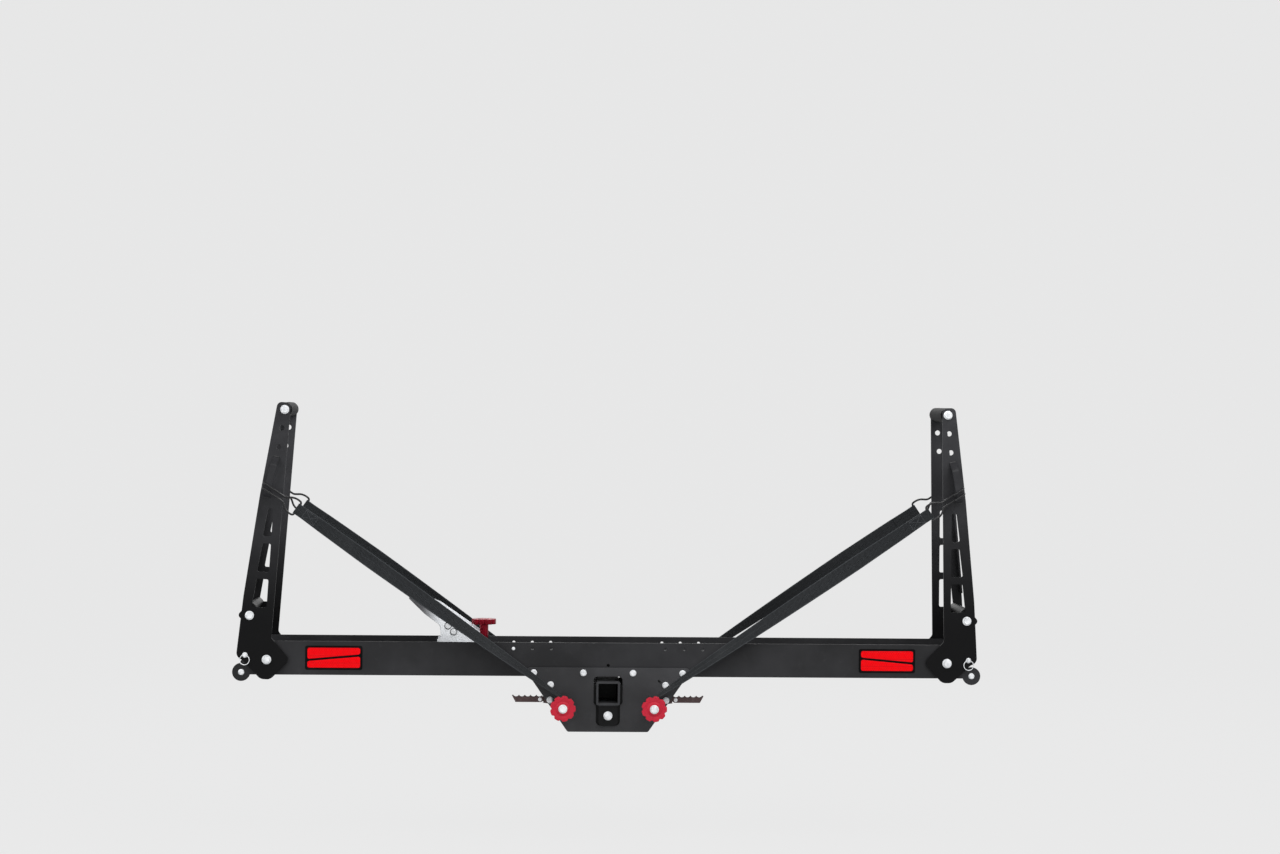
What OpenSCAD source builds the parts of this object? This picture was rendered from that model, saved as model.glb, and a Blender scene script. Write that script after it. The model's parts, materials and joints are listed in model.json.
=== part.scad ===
// Hitch carrier for one motorcycle: a wheel tray on a hitch bar, two folding wheel arms,
// strap winders with ratchets and foot pedals, and a sliding wheel chock.
// X runs along the tray, Y points to the vehicle and Z is up; sizes are in millimetres.
// The origin is the centre of the hitch pin hole.

/* [Tray] */
// Distance between the two arm pivots
pivot_span = 1822; // [1780:2:1900]
// Outer width of the tray
tray_w = 203; // [195:1:215]
// Height of the side walls
tray_h = 90; // [88:1:96]
// Thickness of the walls and floor
wall_t = 4.8; // [4:0.1:6]
// Depth of the wheel channel below the top of the walls
floor_drop = 32; // [28:0.5:32]
// Width of the lip along the foot of each wall
lip_w = 14; // [8:1:24]
// Height of the tray's foot above the hitch bar's axis
tray_z = 44; // [43:0.5:48]
// Height of the arm pivots above the tray's foot
pivot_up = 41; // [40:0.5:43]
// Distance from the tray's middle to the hitch pin hole
tray_to_pin = 400; // [340:5:480]
// Radius of the round wall ends about the pivots
end_r = 52; // [48:0.5:52]
// Height of the accessory holes above the floor
wall_hole_up = 15.6; // [12:0.1:18]
// Diameter of the accessory holes in the walls
wall_hole_d = 8; // [6:0.5:12]
// Distance of the first accessory hole from the middle
wall_hole_x = 153; // [140:1:170]
// Spacing of the accessory holes
wall_hole_pitch = 50.5; // [40:0.5:56]

/* [Tray ends] */
// Distance of the lugs beyond the pivots
lug_out = 68; // [64:1:72]
// Height of the lugs below the pivots
lug_down = 34.5; // [32:0.5:38]
// Radius of the lugs
lug_r = 24; // [20:0.2:24.4]
// Diameter of the cross bars between the lugs
ramp_bar_d = 16; // [12:1:18]

/* [Centre plates] */
// Thickness of the centre plates
plate_t = 6; // [5:0.5:7]
// Height of the plates' upper edge
plate_top = 68; // [64:1:72]
// Height of the plates' lower edge
plate_low = -104; // [-110:1:-100]
// Half width of the upper edge
plate_half_top = 228; // [222:1:240]
// Half width of the lower edge
plate_half_low = 108; // [104:1:120]
// Depth of the folded lower edge
plate_fold = 25; // [15:1:30]
// Distance of the inner plate bolts from the middle
bolt_in = 66.5; // [60:0.5:70]
// Distance of the outer plate bolts from the middle
bolt_far = 199.5; // [190:0.5:205]
// Height of the plate bolts above the tray's foot
bolt_up = 10; // [10:0.5:12]

/* [Receiver] */
// Outer width of the receiver tube
receiver_w = 63.5; // [62:0.5:66]
// Inner width of the receiver tube
receiver_bore = 52.4; // [52:0.1:53]
// Length of the receiver tube
receiver_len = 237; // [233:1:245]
// Width of the hitch bar
shank_w = 50.8; // [50:0.1:51.2]
// Diameter of the hitch pin hole
pin_hole_d = 16.3; // [16:0.1:17]
// Length of the hitch bar beyond the pin hole
shank_tip = 70; // [50:1:90]

/* [Arms] */
// Thickness of the arm plates
arm_t = 5; // [4:0.2:6]
// Gap between the tray wall and the arm plates
arm_gap = 3.2; // [3:0.1:3.6]
// Height of the upper roller above the pivot
roller_up = 668; // [664:1:672]
// Diameter of the upper roller
roller_d = 38; // [30:1:38]
// Distance of the lower bar's bolt beyond the pivot
bar_out = 54; // [52:1:56]
// Height of the lower bar's bolt above the pivot
bar_up = 114; // [112:1:116]
// Depth of the folded outer edge
arm_fold = 22; // [15:1:24]
// Height of the lowest slot above the pivot
slot_z = 137; // [134:1:142]
// Length of each slot
slot_len = 76; // [60:1:80]
// Web between two slots
slot_gap = 19; // [16:1:24]
// Inward lean of the left arm, degrees
left_lean = 3.9; // [0:0.1:6]
// Inward lean of the right arm, degrees
right_lean = 0.6; // [0:0.1:2]
// Clearance of the arms on their pivot bushes
pivot_play = 0.05; // [0.02:0.01:0.1]

/* [Strap loops and hooks] */
// Width of the bridge loops
loop_w = 17; // [14:1:18]
// Stand-off of the bridge loops
loop_h = 32; // [31:0.5:34]
// Thickness of the bridge loops
loop_t = 5; // [4:0.5:5]
// Wire diameter of the hooks
wire_d = 5.5; // [4:0.1:5.6]
// Length of each hook from its seat to the strap bar
hook_len = 104; // [96:1:112]

/* [Straps and spools] */
// Width of the webbing
web_w = 38; // [30:1:39]
// Thickness of the webbing
web_t = 1.6; // [1.2:0.1:1.7]
// Air between the turns of a coil
web_air = 0.5; // [0.45:0.05:0.6]
// Turns of webbing on a coil
web_turns = 2.5; // [2:0.5:3]
// Distance of the spools from the middle
spool_x = 121.5; // [121:0.5:122]
// Height of the spools
spool_z = -36; // [-37:0.5:-35.5]
// Radius of the spool shafts
shaft_r = 10; // [8:0.5:11]
// Radius of the drums
drum_r = 12; // [12:0.2:13]
// Clearance of the shafts in their bushes
shaft_play = 0.05; // [0.02:0.01:0.1]
// Diameter of the winder knobs
knob_d = 68; // [56:1:70]
// Lobes of the winder knobs
knob_lobes = 9; // [6:1:12]
// Teeth of the ratchet gears
gear_teeth = 12; // [12:12:24]

/* [Pedals] */
// Distance of the pedal pivots from the middle
pedal_x = 155.5; // [155:0.5:157]
// Height of the pedal pivots
pedal_z = -19; // [-19:0.5:-17]
// Clearance of the levers on their pivots
pedal_play = 0.05; // [0.02:0.01:0.1]
// Serrations on each tread
tread_teeth = 5; // [4:1:7]
// Wire diameter of the pawl springs
spring_wire = 2; // [1.5:0.1:2]

/* [Lock pins] */
// Diameter of the lock pins
lock_d = 8; // [6:0.5:8]
// Distance of the lock pins beyond the pivots
lock_out = 58; // [58:0.5:59]
// Height of the lock pins above the pivots
lock_up = 8; // [7.5:0.5:9]
// Mean radius of the pull rings
ring_r = 13; // [10:0.5:15]

/* [Reflectors] */
// Length of the reflectors
reflector_len = 152; // [120:1:160]
// Height of the reflectors
reflector_h = 64; // [50:1:66]
// Distance of the left reflector's middle from its pivot
left_reflector_in = 178; // [165:1:185]
// Distance of the right reflector's middle from its pivot
right_reflector_in = 161; // [155:1:175]

/* [Chock] */
// Position of the clamp knob along the tray
chock_x = -335; // [-345:1:-330]
// Length of the chock base
chock_len = 141; // [138:1:160]
// Diameter of the clamp knob
clamp_knob_d = 66; // [50:1:66]
// Angle of the bent cheeks
cheek_angle = 18; // [5:1:20]

/* [Hidden] */
$fn = 48;
ease = 0.3;
half_w = tray_w / 2;
pivot_x = pivot_span / 2;
pivot_z = tray_z + pivot_up;
tray_top = tray_z + tray_h;
floor_z = tray_top - floor_drop;
plate_y = half_w + plate_t;
arm_in = half_w + arm_gap;
arm_out = arm_in + arm_t;
bush_y = plate_y + 9.5;
coil_y = bush_y + 1;
coil_mid = coil_y + web_w / 2;
knob_y = coil_y + web_w + 2;
knob_t = 14;
gear_y = half_w - 10.5;
gear_t = 8;
web_pitch = web_t + web_air;
coil_in = drum_r + 0.2 + web_t / 2;
coil_out = coil_in + web_turns * web_pitch;
wrap_r = coil_out + web_t * 1.5 + 0.6;
arm_top = roller_up + 19;
hip_z = roller_up - 232;
hook_y = arm_out + loop_h - loop_t - 1.2 - wire_d / 2;
tip_y = arm_out + loop_h + 1 + wire_d / 2;
tie2 = [154, 22];
fold_step = 0.25;
gear_root = 21.2;
gear_tip = 25;
tab_low = -87;
black = [0.16, 0.16, 0.17];
zinc = [0.78, 0.79, 0.8];
red = [0.76, 0.15, 0.24];
alloy = [0.8, 0.82, 0.84];
webbing = [0.18, 0.19, 0.19];

// Helpers: points and outlines

function unit(v) = v / norm(v);
function turned(p, a) = [p.x * cos(a) - p.y * sin(a), p.x * sin(a) + p.y * cos(a)];

// Arc that rounds corner b between a and c
function corner(a, b, c, r, n) =
    r == 0 ? [b] :
    let (
        u = unit(a - b),
        v = unit(c - b),
        half = acos(u * v) / 2,
        mid = b + unit(u + v) * r / sin(half),
        p = b + u * r / tan(half) - mid,
        q = b + v * r / tan(half) - mid,
        a0 = atan2(p.y, p.x),
        turn = (atan2(q.y, q.x) - a0 + 540) % 360 - 180
    )
    [for (i = [0:n]) mid + r * [cos(a0 + turn * i / n), sin(a0 + turn * i / n)]];

// Outline from corners given as [x, y, radius]
function rounded(c, n = 6) =
    let (m = len(c), xy = [for (p = c) [p.x, p.y]])
    [for (i = [0:m - 1]) each corner(xy[(i + m - 1) % m], xy[i], xy[(i + 1) % m], c[i].z, n)];

// Faces of a skin over rings of k points
function skin_faces(rings, k) = [
    for (i = [0:rings - 2], j = [0:k - 1])
        each [
            [i * k + j, i * k + (j + 1) % k, (i + 1) * k + (j + 1) % k],
            [i * k + j, (i + 1) * k + (j + 1) % k, (i + 1) * k + j]
        ],
    for (j = [1:k - 2]) [0, j + 1, j],
    for (j = [1:k - 2]) [(rings - 1) * k, (rings - 1) * k + j, (rings - 1) * k + j + 1]
];

// Direction of a path at each of its points
function headings(p) = [
    for (i = [0:len(p) - 1]) unit(p[min(i + 1, len(p) - 1)] - p[max(i - 1, 0)])
];

// Rings of k points along a path, carried without twist
function tube_rings(p, r, k, side) =
    let (t = headings(p))
    [
        for (i = 0, n = unit(side - (side * t[0]) * t[0]); i < len(p);
            i = i + 1, n = i < len(p) ? unit(n - (n * t[i]) * t[i]) : n)
            each [for (j = [0:k - 1]) p[i] + r * (cos(360 * j / k) * n + sin(360 * j / k) * cross(t[i], n))]
    ];

module wire(p, r, k, side) {
    polyhedron(tube_rings(p, r, k, side), skin_faces(len(p), k), 4);
}

// Helpers: placing

// Everything is drawn about the tray's middle and moved to the hitch pin hole
module placed(c) {
    color(c)
        translate([0, -tray_to_pin, 0])
            children();
}

module both_faces() {
    children();
    mirror([0, 1, 0])
        children();
}

module both_ends() {
    children();
    mirror([1, 0, 0])
        children();
}

// Outline in X and Z drawn out between two Y positions
module slab(y0, y1) {
    translate([0, y1, 0])
        rotate([90, 0, 0])
            linear_extrude(y1 - y0)
                children();
}

// Round bar along Y
module rod(p, r, y0, y1) {
    translate([p.x, y1, p.y])
        rotate([90, 0, 0])
            cylinder(r = r, h = y1 - y0);
}

// The arm of one end in its own frame: X away from the middle, the pivot at zero
module arm_frame(left) {
    if (left)
        translate([-pivot_x, 0, pivot_z])
            rotate([0, left_lean, 0])
                mirror([1, 0, 0])
                    children();
    else
        translate([pivot_x, 0, pivot_z])
            rotate([0, -right_lean, 0])
                children();
}

module end_frame(left) {
    if (left)
        mirror([1, 0, 0])
            children();
    else
        children();
}

// Helpers: fasteners

// Flanged hex head standing on Z zero
module hex_head(r, h) {
    cylinder(r = r, h = h * 0.28);
    intersection() {
        cylinder(r = r * 0.86, h = h, $fn = 6);
        cylinder(r1 = r * 1.1, r2 = r * 0.72, h = h);
    }
}

// Bolt with its head at y0 on the near side, and a nut beyond y1
module through_bolt(p, r, head_r, head_h, y0, y1) {
    translate([p.x, y0, p.y])
        rotate([90, 0, 0])
            hex_head(head_r, head_h);
    rod(p, r, y0 - 0.5, y1 + head_h + 2);
    translate([p.x, y1, p.y])
        rotate([-90, 0, 0])
            hex_head(head_r, head_h);
}

// Scalloped hand wheel standing on Z zero
module hand_wheel(d, h, lobes) {
    hollow = d * 0.16;
    difference() {
        cylinder(d = d, h = h, $fn = 72);
        for (i = [0:lobes - 1])
            rotate([0, 0, (i + 0.5) * 360 / lobes])
                translate([d / 2 + hollow * 0.62, 0, -1])
                    cylinder(r = hollow, h = h + 2, $fn = 24);
    }
}

// Frame: tray

module wall_outline() {
    difference() {
        union() {
            translate([-pivot_x, tray_z])
                square([pivot_span, tray_h]);
            for (s = [-1, 1]) {
                intersection() {
                    translate([s * pivot_x, pivot_z])
                        circle(end_r, $fn = 72);
                    translate([-pivot_x - end_r, tray_z])
                        square([pivot_span + 2 * end_r, tray_h]);
                }
                translate([s * (pivot_x + lug_out), pivot_z - lug_down])
                    circle(lug_r);
                translate([s * (pivot_x + lug_out / 2 + 8) - lug_out / 2 + 8, tray_z])
                    square([lug_out - 16, 26]);
            }
        }
        for (s = [-1, 1]) {
            translate([s * pivot_x, pivot_z])
                circle(6.25);
            translate([s * (pivot_x + lug_out), pivot_z - lug_down])
                circle(ramp_bar_d / 4 + 0.25);
            for (i = [0:2])
                translate([s * (wall_hole_x + i * wall_hole_pitch), floor_z + wall_hole_up])
                    circle(d = wall_hole_d);
            for (x = [bolt_in, bolt_far])
                translate([s * x, tray_z + bolt_up])
                    circle(4.3);
        }
        translate([0, tray_z + 29.5])
            circle(d = wall_hole_d);
    }
}

module tray() {
    placed(black)
        difference() {
            union() {
                both_faces()
                    slab(-half_w, -half_w + wall_t)
                        wall_outline();
                translate([-pivot_x - 38, -half_w + wall_t / 2, floor_z - wall_t])
                    cube([pivot_span + 76, tray_w - wall_t, wall_t]);
                both_faces()
                    both_ends()
                        translate([plate_half_top - 10, -half_w + wall_t / 2, tray_z])
                            cube([pivot_x + 30 - plate_half_top, lip_w, wall_t]);
            }
            translate([chock_x - 70, -6.5, floor_z - 10])
                cube([100, 13, 20]);
        }
}

// Frame: centre plates and receiver

module plate_outline() {
    difference() {
        polygon(rounded([
            [-plate_half_top, plate_top, 10],
            [plate_half_top, plate_top, 10],
            [plate_half_top - 19, tray_z - 2, 14],
            [plate_half_low, plate_low, 8],
            [-plate_half_low, plate_low, 8],
            [-plate_half_top + 19, tray_z - 2, 14]
        ]));
        polygon(rounded([
            [-38.5, 44.3, 10],
            [38.5, 44.3, 10],
            [38.5, -27, 3],
            [32.2, -33, 3],
            [32.2, tab_low, 12],
            [-32.2, tab_low, 12],
            [-32.2, -33, 3],
            [-38.5, -27, 3]
        ]));
        for (s = [-1, 1]) {
            for (x = [bolt_in, bolt_far])
                translate([s * x, tray_z + bolt_up])
                    circle(4.3);
            translate([s * tie2.x, tie2.y])
                circle(5.3);
            translate([s * pedal_x, pedal_z])
                circle(5.3);
            translate([s * spool_x, spool_z])
                circle(13.1);
        }
        translate([138, 31])
            rotate(-38)
                square([11, 5], center = true);
    }
}

module centre_plate() {
    slab(-plate_y, -half_w)
        plate_outline();
    translate([-plate_half_low + 10, -half_w - plate_t / 2, plate_low])
        cube([2 * plate_half_low - 20, plate_fold, 5]);
}

module rear_plate() {
    placed(black)
        centre_plate();
}

module front_plate() {
    placed(black)
        mirror([0, 1, 0])
            centre_plate();
}

module round_square(w, r) {
    h = w / 2;
    polygon(rounded([[-h, -h, r], [h, -h, r], [h, h, r], [-h, h, r]]));
}

module receiver_tube() {
    placed(black)
        difference() {
            union() {
                slab(-receiver_len / 2, receiver_len / 2)
                    round_square(receiver_w, 5);
                both_faces()
                    slab(-half_w - 12, -half_w)
                        polygon(rounded([
                            [-25.4, -28, 0],
                            [-25.4, tab_low, 9],
                            [25.4, tab_low, 9],
                            [25.4, -28, 0]
                        ]));
            }
            slab(-receiver_len / 2 - 1, receiver_len / 2 + 1)
                round_square(receiver_bore, 1.5);
            both_faces()
                rod([0, -60], 6.3, -half_w - 13, -half_w + 1);
            for (y = [30, 75])
                translate([-50, y, 0])
                    rotate([0, 90, 0])
                        cylinder(r = 6.3, h = 100);
        }
}

// U-shaped carriers, welded behind the plates, hold the tube's tabs
module receiver_carriers() {
    placed(black)
        both_faces()
            slab(-half_w, -half_w + plate_t)
                difference() {
                    translate([-72, -96])
                        square([144, 118]);
                    translate([-receiver_w / 2 - ease, -receiver_w / 2 - ease])
                        square([receiver_w + 2 * ease, 100]);
                    translate([0, -60])
                        circle(6.3);
                }
}

module receiver_bolts() {
    placed(zinc) {
        both_faces()
            through_bolt([0, -60], 6, 11.8, 9, -half_w - 12, -half_w + plate_t);
        for (y = [30, 75])
            translate([0, y, 0])
                rotate([0, 0, 90])
                    through_bolt([0, 0], 6, 11, 9, -receiver_w / 2, receiver_w / 2);
    }
}

module hitch_shank() {
    placed(black)
        difference() {
            intersection() {
                translate([-shank_w / 2, 8, -shank_w / 2])
                    cube([shank_w, tray_to_pin + shank_tip - 8, shank_w]);
                translate([0, tray_to_pin + shank_tip, 0])
                    rotate([90, 0, 0])
                        cylinder(r1 = shank_w * 0.62, r2 = shank_w * 0.62 + 500, h = 500);
            }
            for (y = [30, 75])
                translate([-50, y, 0])
                    rotate([0, 90, 0])
                        cylinder(r = 6.3, h = 100);
            translate([-50, tray_to_pin, 0])
                rotate([0, 90, 0])
                    cylinder(d = pin_hole_d, h = 100);
        }
}

// Short screw left in an accessory hole
module stop_screw(p) {
    translate([p.x, -half_w, p.y])
        rotate([90, 0, 0])
            hex_head(wall_hole_d / 2 + 0.5, 2.2);
    rod(p, wall_hole_d / 2 - 0.2, -half_w - 0.5, -half_w + wall_t + 3);
}

module plate_bolts() {
    placed(zinc) {
        both_faces()
            both_ends()
                for (x = [bolt_in, bolt_far])
                    through_bolt([x, tray_z + bolt_up], 4, 8.75, 6.5, -plate_y, -half_w + wall_t);
        stop_screw([-wall_hole_x - 2 * wall_hole_pitch, floor_z + wall_hole_up]);
    }
}

module tie_bolts() {
    placed(zinc)
        both_ends() {
            through_bolt(tie2, 5, 8.75, 7, -plate_y, plate_y);
            through_bolt([pedal_x, pedal_z], 5, 8.75, 7, -plate_y, plate_y);
        }
}

// Spacer tubes between the plates; the lower ones are the pedals' pivots
module plate_spacers() {
    placed(zinc)
        both_ends()
            for (p = [tie2, [pedal_x, pedal_z]])
                difference() {
                    rod(p, 8, -half_w, half_w);
                    rod(p, 5.3, -half_w - 1, half_w + 1);
                }
}

module spool_bushes() {
    placed(black)
        both_faces()
            both_ends()
                difference() {
                    union() {
                        rod([spool_x, spool_z], 13, -plate_y - 0.5, -half_w + 1.8);
                        rod([spool_x, spool_z], 17, -bush_y, -plate_y);
                    }
                    rod([spool_x, spool_z], shaft_r + shaft_play, -bush_y - 1, -half_w + 3);
                }
}

module pivot_bushes() {
    placed(zinc)
        both_faces()
            both_ends()
                difference() {
                    union() {
                        rod([pivot_x, pivot_z], 20, -half_w - 2.9, -half_w);
                        rod([pivot_x, pivot_z], 10, -arm_out - 0.4, -half_w - 1);
                    }
                    rod([pivot_x, pivot_z], 6.25, -arm_out - 2, -half_w + 1);
                }
}

module pivot_bolts() {
    placed(zinc)
        both_faces()
            both_ends() {
                rod([pivot_x, pivot_z], 12.4, -arm_out - 2.4, -arm_out - 0.4);
                through_bolt([pivot_x, pivot_z], 6, 11.8, 9, -arm_out - 2.4, -half_w + wall_t);
            }
}

module ramp_bars() {
    p = [pivot_x + lug_out, pivot_z - lug_down];
    placed(black)
        both_ends()
            difference() {
                rod(p, ramp_bar_d / 2, -half_w + wall_t, half_w - wall_t);
                both_faces()
                    rod(p, ramp_bar_d / 4 + 0.25, -half_w, -half_w + wall_t + 22);
            }
}

// Low headed bolts that hold the cross bars between the lugs
module ramp_bolts() {
    p = [pivot_x + lug_out, pivot_z - lug_down];
    placed(zinc)
        both_faces()
            both_ends() {
                rod(p, ramp_bar_d / 4, -half_w - 1, -half_w + wall_t + 20);
                translate([p.x, -half_w, p.y])
                    rotate([90, 0, 0])
                        hex_head(ramp_bar_d / 2, 2.6);
            }
}

// Frame: reflectors

module reflector_places() {
    for (x = [-pivot_x + left_reflector_in, pivot_x - right_reflector_in])
        translate([x, (tray_z + tray_top) / 2 + 1])
            scale([sign(x), 1])
                children();
}

module reflector_bases() {
    placed([0.05, 0.05, 0.05])
        slab(-half_w - 1.2, -half_w)
            reflector_places()
                polygon(rounded([
                    [-reflector_len / 2, -reflector_h / 2, 5],
                    [reflector_len / 2, -reflector_h / 2, 5],
                    [reflector_len / 2, reflector_h / 2, 5],
                    [-reflector_len / 2, reflector_h / 2, 5]
                ]));
}

module reflector_lenses() {
    rim = 4.5;
    split = 6.5;
    a = reflector_len / 2 - rim;
    b = reflector_h / 2 - rim;
    placed([0.85, 0.02, 0.03])
        slab(-half_w - 2, -half_w - 1.2)
            reflector_places() {
                polygon(rounded([[-a, b, 3], [a, b, 3], [a, -b * 0.35, 2], [-a, b * 0.55, 2]]));
                polygon(rounded([
                    [-a, -b, 3],
                    [-a, b * 0.55 - split, 2],
                    [a, -b * 0.35 - split, 2],
                    [a, -b, 3]
                ]));
            }
}

// Arms

// Outer edge of an arm plate at a height above its pivot
function arm_edge(z) =
    z > hip_z ? 51 - (z - hip_z) * 28 / 251 :
    z > 165 ? 74 - (z - 165) * 23 / (hip_z - 165) :
    74 + (165 - z) * 0.045;

module arm_outline() {
    difference() {
        polygon(rounded([
            [-12.4, arm_top, 13],
            [23, arm_top, 13],
            [51, hip_z, 0],
            [74, 165, 0],
            [81.5, 2, 18],
            [64, -6, 8],
            [13, -53, 22],
            [-13, -53, 22],
            [-61.8, 2.5, 16],
            [-8, 57.6, 12]
        ]));
        for (i = [0:2])
            let (z0 = slot_z + i * (slot_len + slot_gap), z1 = z0 + slot_len)
                polygon(rounded([
                    [9.5 + z0 * 0.0085, z0, 4.5],
                    [arm_edge(z0) - 25, z0, 4.5],
                    [arm_edge(z1) - 27.5, z1, 4.5],
                    [9.5 + z1 * 0.0085, z1, 4.5]
                ], 5));
        translate([6.4, roller_up - 50])
            circle(7);
        translate([11, roller_up - 101])
            circle(7);
        translate([2.7, roller_up])
            circle(6.25);
        translate([bar_out, bar_up])
            circle(6.25);
        circle(10 + pivot_play);
        translate([lock_out, lock_up])
            circle(lock_d / 2 + 0.05);
    }
}

module arm_plate() {
    slab(-arm_out, -arm_in)
        arm_outline();
    slab(-arm_in - arm_t / 2, -arm_in + arm_fold)
        translate([-fold_step, 0])
            polygon([
                [arm_edge(roller_up - 18), roller_up - 18],
                [51, hip_z],
                [arm_edge(176), 176],
                [arm_edge(176) - arm_t, 176],
                [51 - arm_t, hip_z],
                [arm_edge(roller_up - 18) - arm_t, roller_up - 18]
            ]);
}

module left_rear_arm() {
    placed(black)
        arm_frame(true)
            arm_plate();
}

module left_front_arm() {
    placed(black)
        mirror([0, 1, 0])
            arm_frame(true)
                arm_plate();
}

module right_rear_arm() {
    placed(black)
        arm_frame(false)
            arm_plate();
}

module right_front_arm() {
    placed(black)
        mirror([0, 1, 0])
            arm_frame(false)
                arm_plate();
}

module top_roller() {
    difference() {
        rod([2.7, roller_up], roller_d / 2, -arm_in, arm_in);
        rod([2.7, roller_up], 6.3, -arm_in - 1, arm_in + 1);
    }
}

module left_top_roller() {
    placed(black)
        arm_frame(true)
            top_roller();
}

module right_top_roller() {
    placed(black)
        arm_frame(false)
            top_roller();
}

// Flat bar across the arm that the wheel leans on
module lower_bar() {
    difference() {
        slab(-arm_in, arm_in)
            translate([bar_out + 7, bar_up + 10])
                rotate(-50)
                    polygon(rounded([[-26, -12, 9], [26, -12, 9], [26, 12, 9], [-26, 12, 9]]));
        rod([bar_out, bar_up], 6.3, -arm_in - 1, arm_in + 1);
    }
}

module left_lower_bar() {
    placed(black)
        arm_frame(true)
            lower_bar();
}

module right_lower_bar() {
    placed(black)
        arm_frame(false)
            lower_bar();
}

module arm_bolts() {
    through_bolt([2.7, roller_up], 6, 11.8, 9, -arm_out, arm_out);
    through_bolt([bar_out, bar_up], 6, 11.8, 9, -arm_out, arm_out);
}

module left_arm_bolts() {
    placed(zinc)
        arm_frame(true)
            arm_bolts();
}

module right_arm_bolts() {
    placed(zinc)
        arm_frame(false)
            arm_bolts();
}

// Bridge loops on the arms: the upper foot, the run to the lower foot and its length
loop_p = [15, roller_up - 127];
loop_run = [20, -124];
loop_len = norm(loop_run);
loop_dir = unit(loop_run);

module strap_loop() {
    a = atan2(-loop_run.y, loop_run.x);
    translate([loop_p.x, -arm_out, loop_p.y])
        rotate([0, a, 0])
            rotate([180, 0, 0])
                translate([0, 0, -loop_w / 2])
                    linear_extrude(loop_w)
                        polygon([
                            [0, 0],
                            [20, loop_h],
                            [loop_len - 15, loop_h],
                            [loop_len, 0],
                            [loop_len - 6, 0],
                            [loop_len - 18, loop_h - loop_t],
                            [23, loop_h - loop_t],
                            [6, 0]
                        ]);
}

module left_strap_loops() {
    placed(black)
        both_faces()
            arm_frame(true)
                strap_loop();
}

module right_strap_loops() {
    placed(black)
        both_faces()
            arm_frame(false)
                strap_loop();
}

// Straps and hooks, in the frame of one end with the arm leaning by a

spool = [spool_x, spool_z];
// Where a strap pulls on its bridge loop: the loop's outer edge
seat_up = loop_p.y - 80;
seat_u = loop_p.x + (loop_p.y - seat_up) * loop_run.x / -loop_run.y + loop_w / 2 * 1.013;
function seat(a) = [pivot_x, pivot_z] + turned([seat_u, seat_up], a);
// Angle on the coil where the strap leaves it
function leave(a) = let (v = seat(a) - spool) atan2(v.y, v.x) + acos((wrap_r - web_t / 2) / norm(v));
function pull(a) = turned([1, 0], leave(a) - 90);
function point(p, y) = [p.x, y, p.y];

// Distance of the hook's prongs from its middle
prong = 6.5;
// Side of the hook's ring: distance from the strap bar and from the hook's middle
hook_ring = [[47, prong], [41, 8.5], [35, 12.5], [28, 17.4], [20, 20.4], [12, 21.4]];

// Wire hook as a closed run: tip, bend round the loop, leg, strap bar, leg, bend, tip
function hook_half(a, s) =
    let (
        d = pull(a),
        n = turned(d, 90),
        e = turned(loop_dir, a),
        shift = prong * s * (e * d) / (e * n),
        o = seat(a) - d * 0.2,
        mid = (hook_y + tip_y) / 2,
        bend = (tip_y - hook_y) / 2
    )
    [
        point(o + d * (shift - 26) + n * prong * s, -tip_y),
        for (q = [0:6])
            point(o + d * (shift + bend * sin(q * 30)) + n * prong * s, -mid - bend * cos(q * 30)),
        for (p = hook_ring)
            point(o - d * (hook_len - p.x) + n * p.y * s, -hook_y),
        for (q = [0:4])
            point(o - d * (hook_len - 7 + 7 * sin(q * 22.5)) + n * s * (15 + 6.3 * cos(q * 22.5)), -hook_y)
    ];

module hook(a) {
    one = hook_half(a, 1);
    two = hook_half(a, -1);
    path = concat(one, [for (i = [len(two) - 1:-1:0]) two[i]]);
    wire(path, wire_d / 2, 10, [0.3, 1, 0.2]);
}

module left_hooks() {
    placed(black)
        both_faces()
            end_frame(true)
                hook(left_lean);
}

module right_hooks() {
    placed(black)
        both_faces()
            end_frame(false)
                hook(right_lean);
}

// One ring of webbing: centre p, turn w about the strap from flat on the coil to flat on the hook
function web_ring(p, y, d, w, wide) =
    let (
        n = turned(d, 90),
        n3 = [n.x, 0, n.y],
        across = -cos(w) * [0, 1, 0] - sin(w) * n3,
        thick = cos(w) * n3 - sin(w) * [0, 1, 0],
        c = point(p, y),
        h = wide / 2,
        t = web_t / 2
    )
    [
        c - across * h - thick * t,
        c + across * h - thick * t,
        c + across * h + thick * t,
        c - across * h + thick * t
    ];

// Ring of the sewn eye at angle q round the strap bar
function eye_ring(p, d, q, r, wide) =
    let (
        n = turned(d, 90),
        n3 = [n.x, 0, n.y],
        out = sin(q) * [d.x, 0, d.y] - cos(q) * [0, 1, 0],
        c = point(p, -hook_y) + out * r,
        h = wide / 2,
        t = web_t / 2
    )
    [c + n3 * h - out * t, c - n3 * h - out * t, c - n3 * h + out * t, c + n3 * h + out * t];

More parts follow.
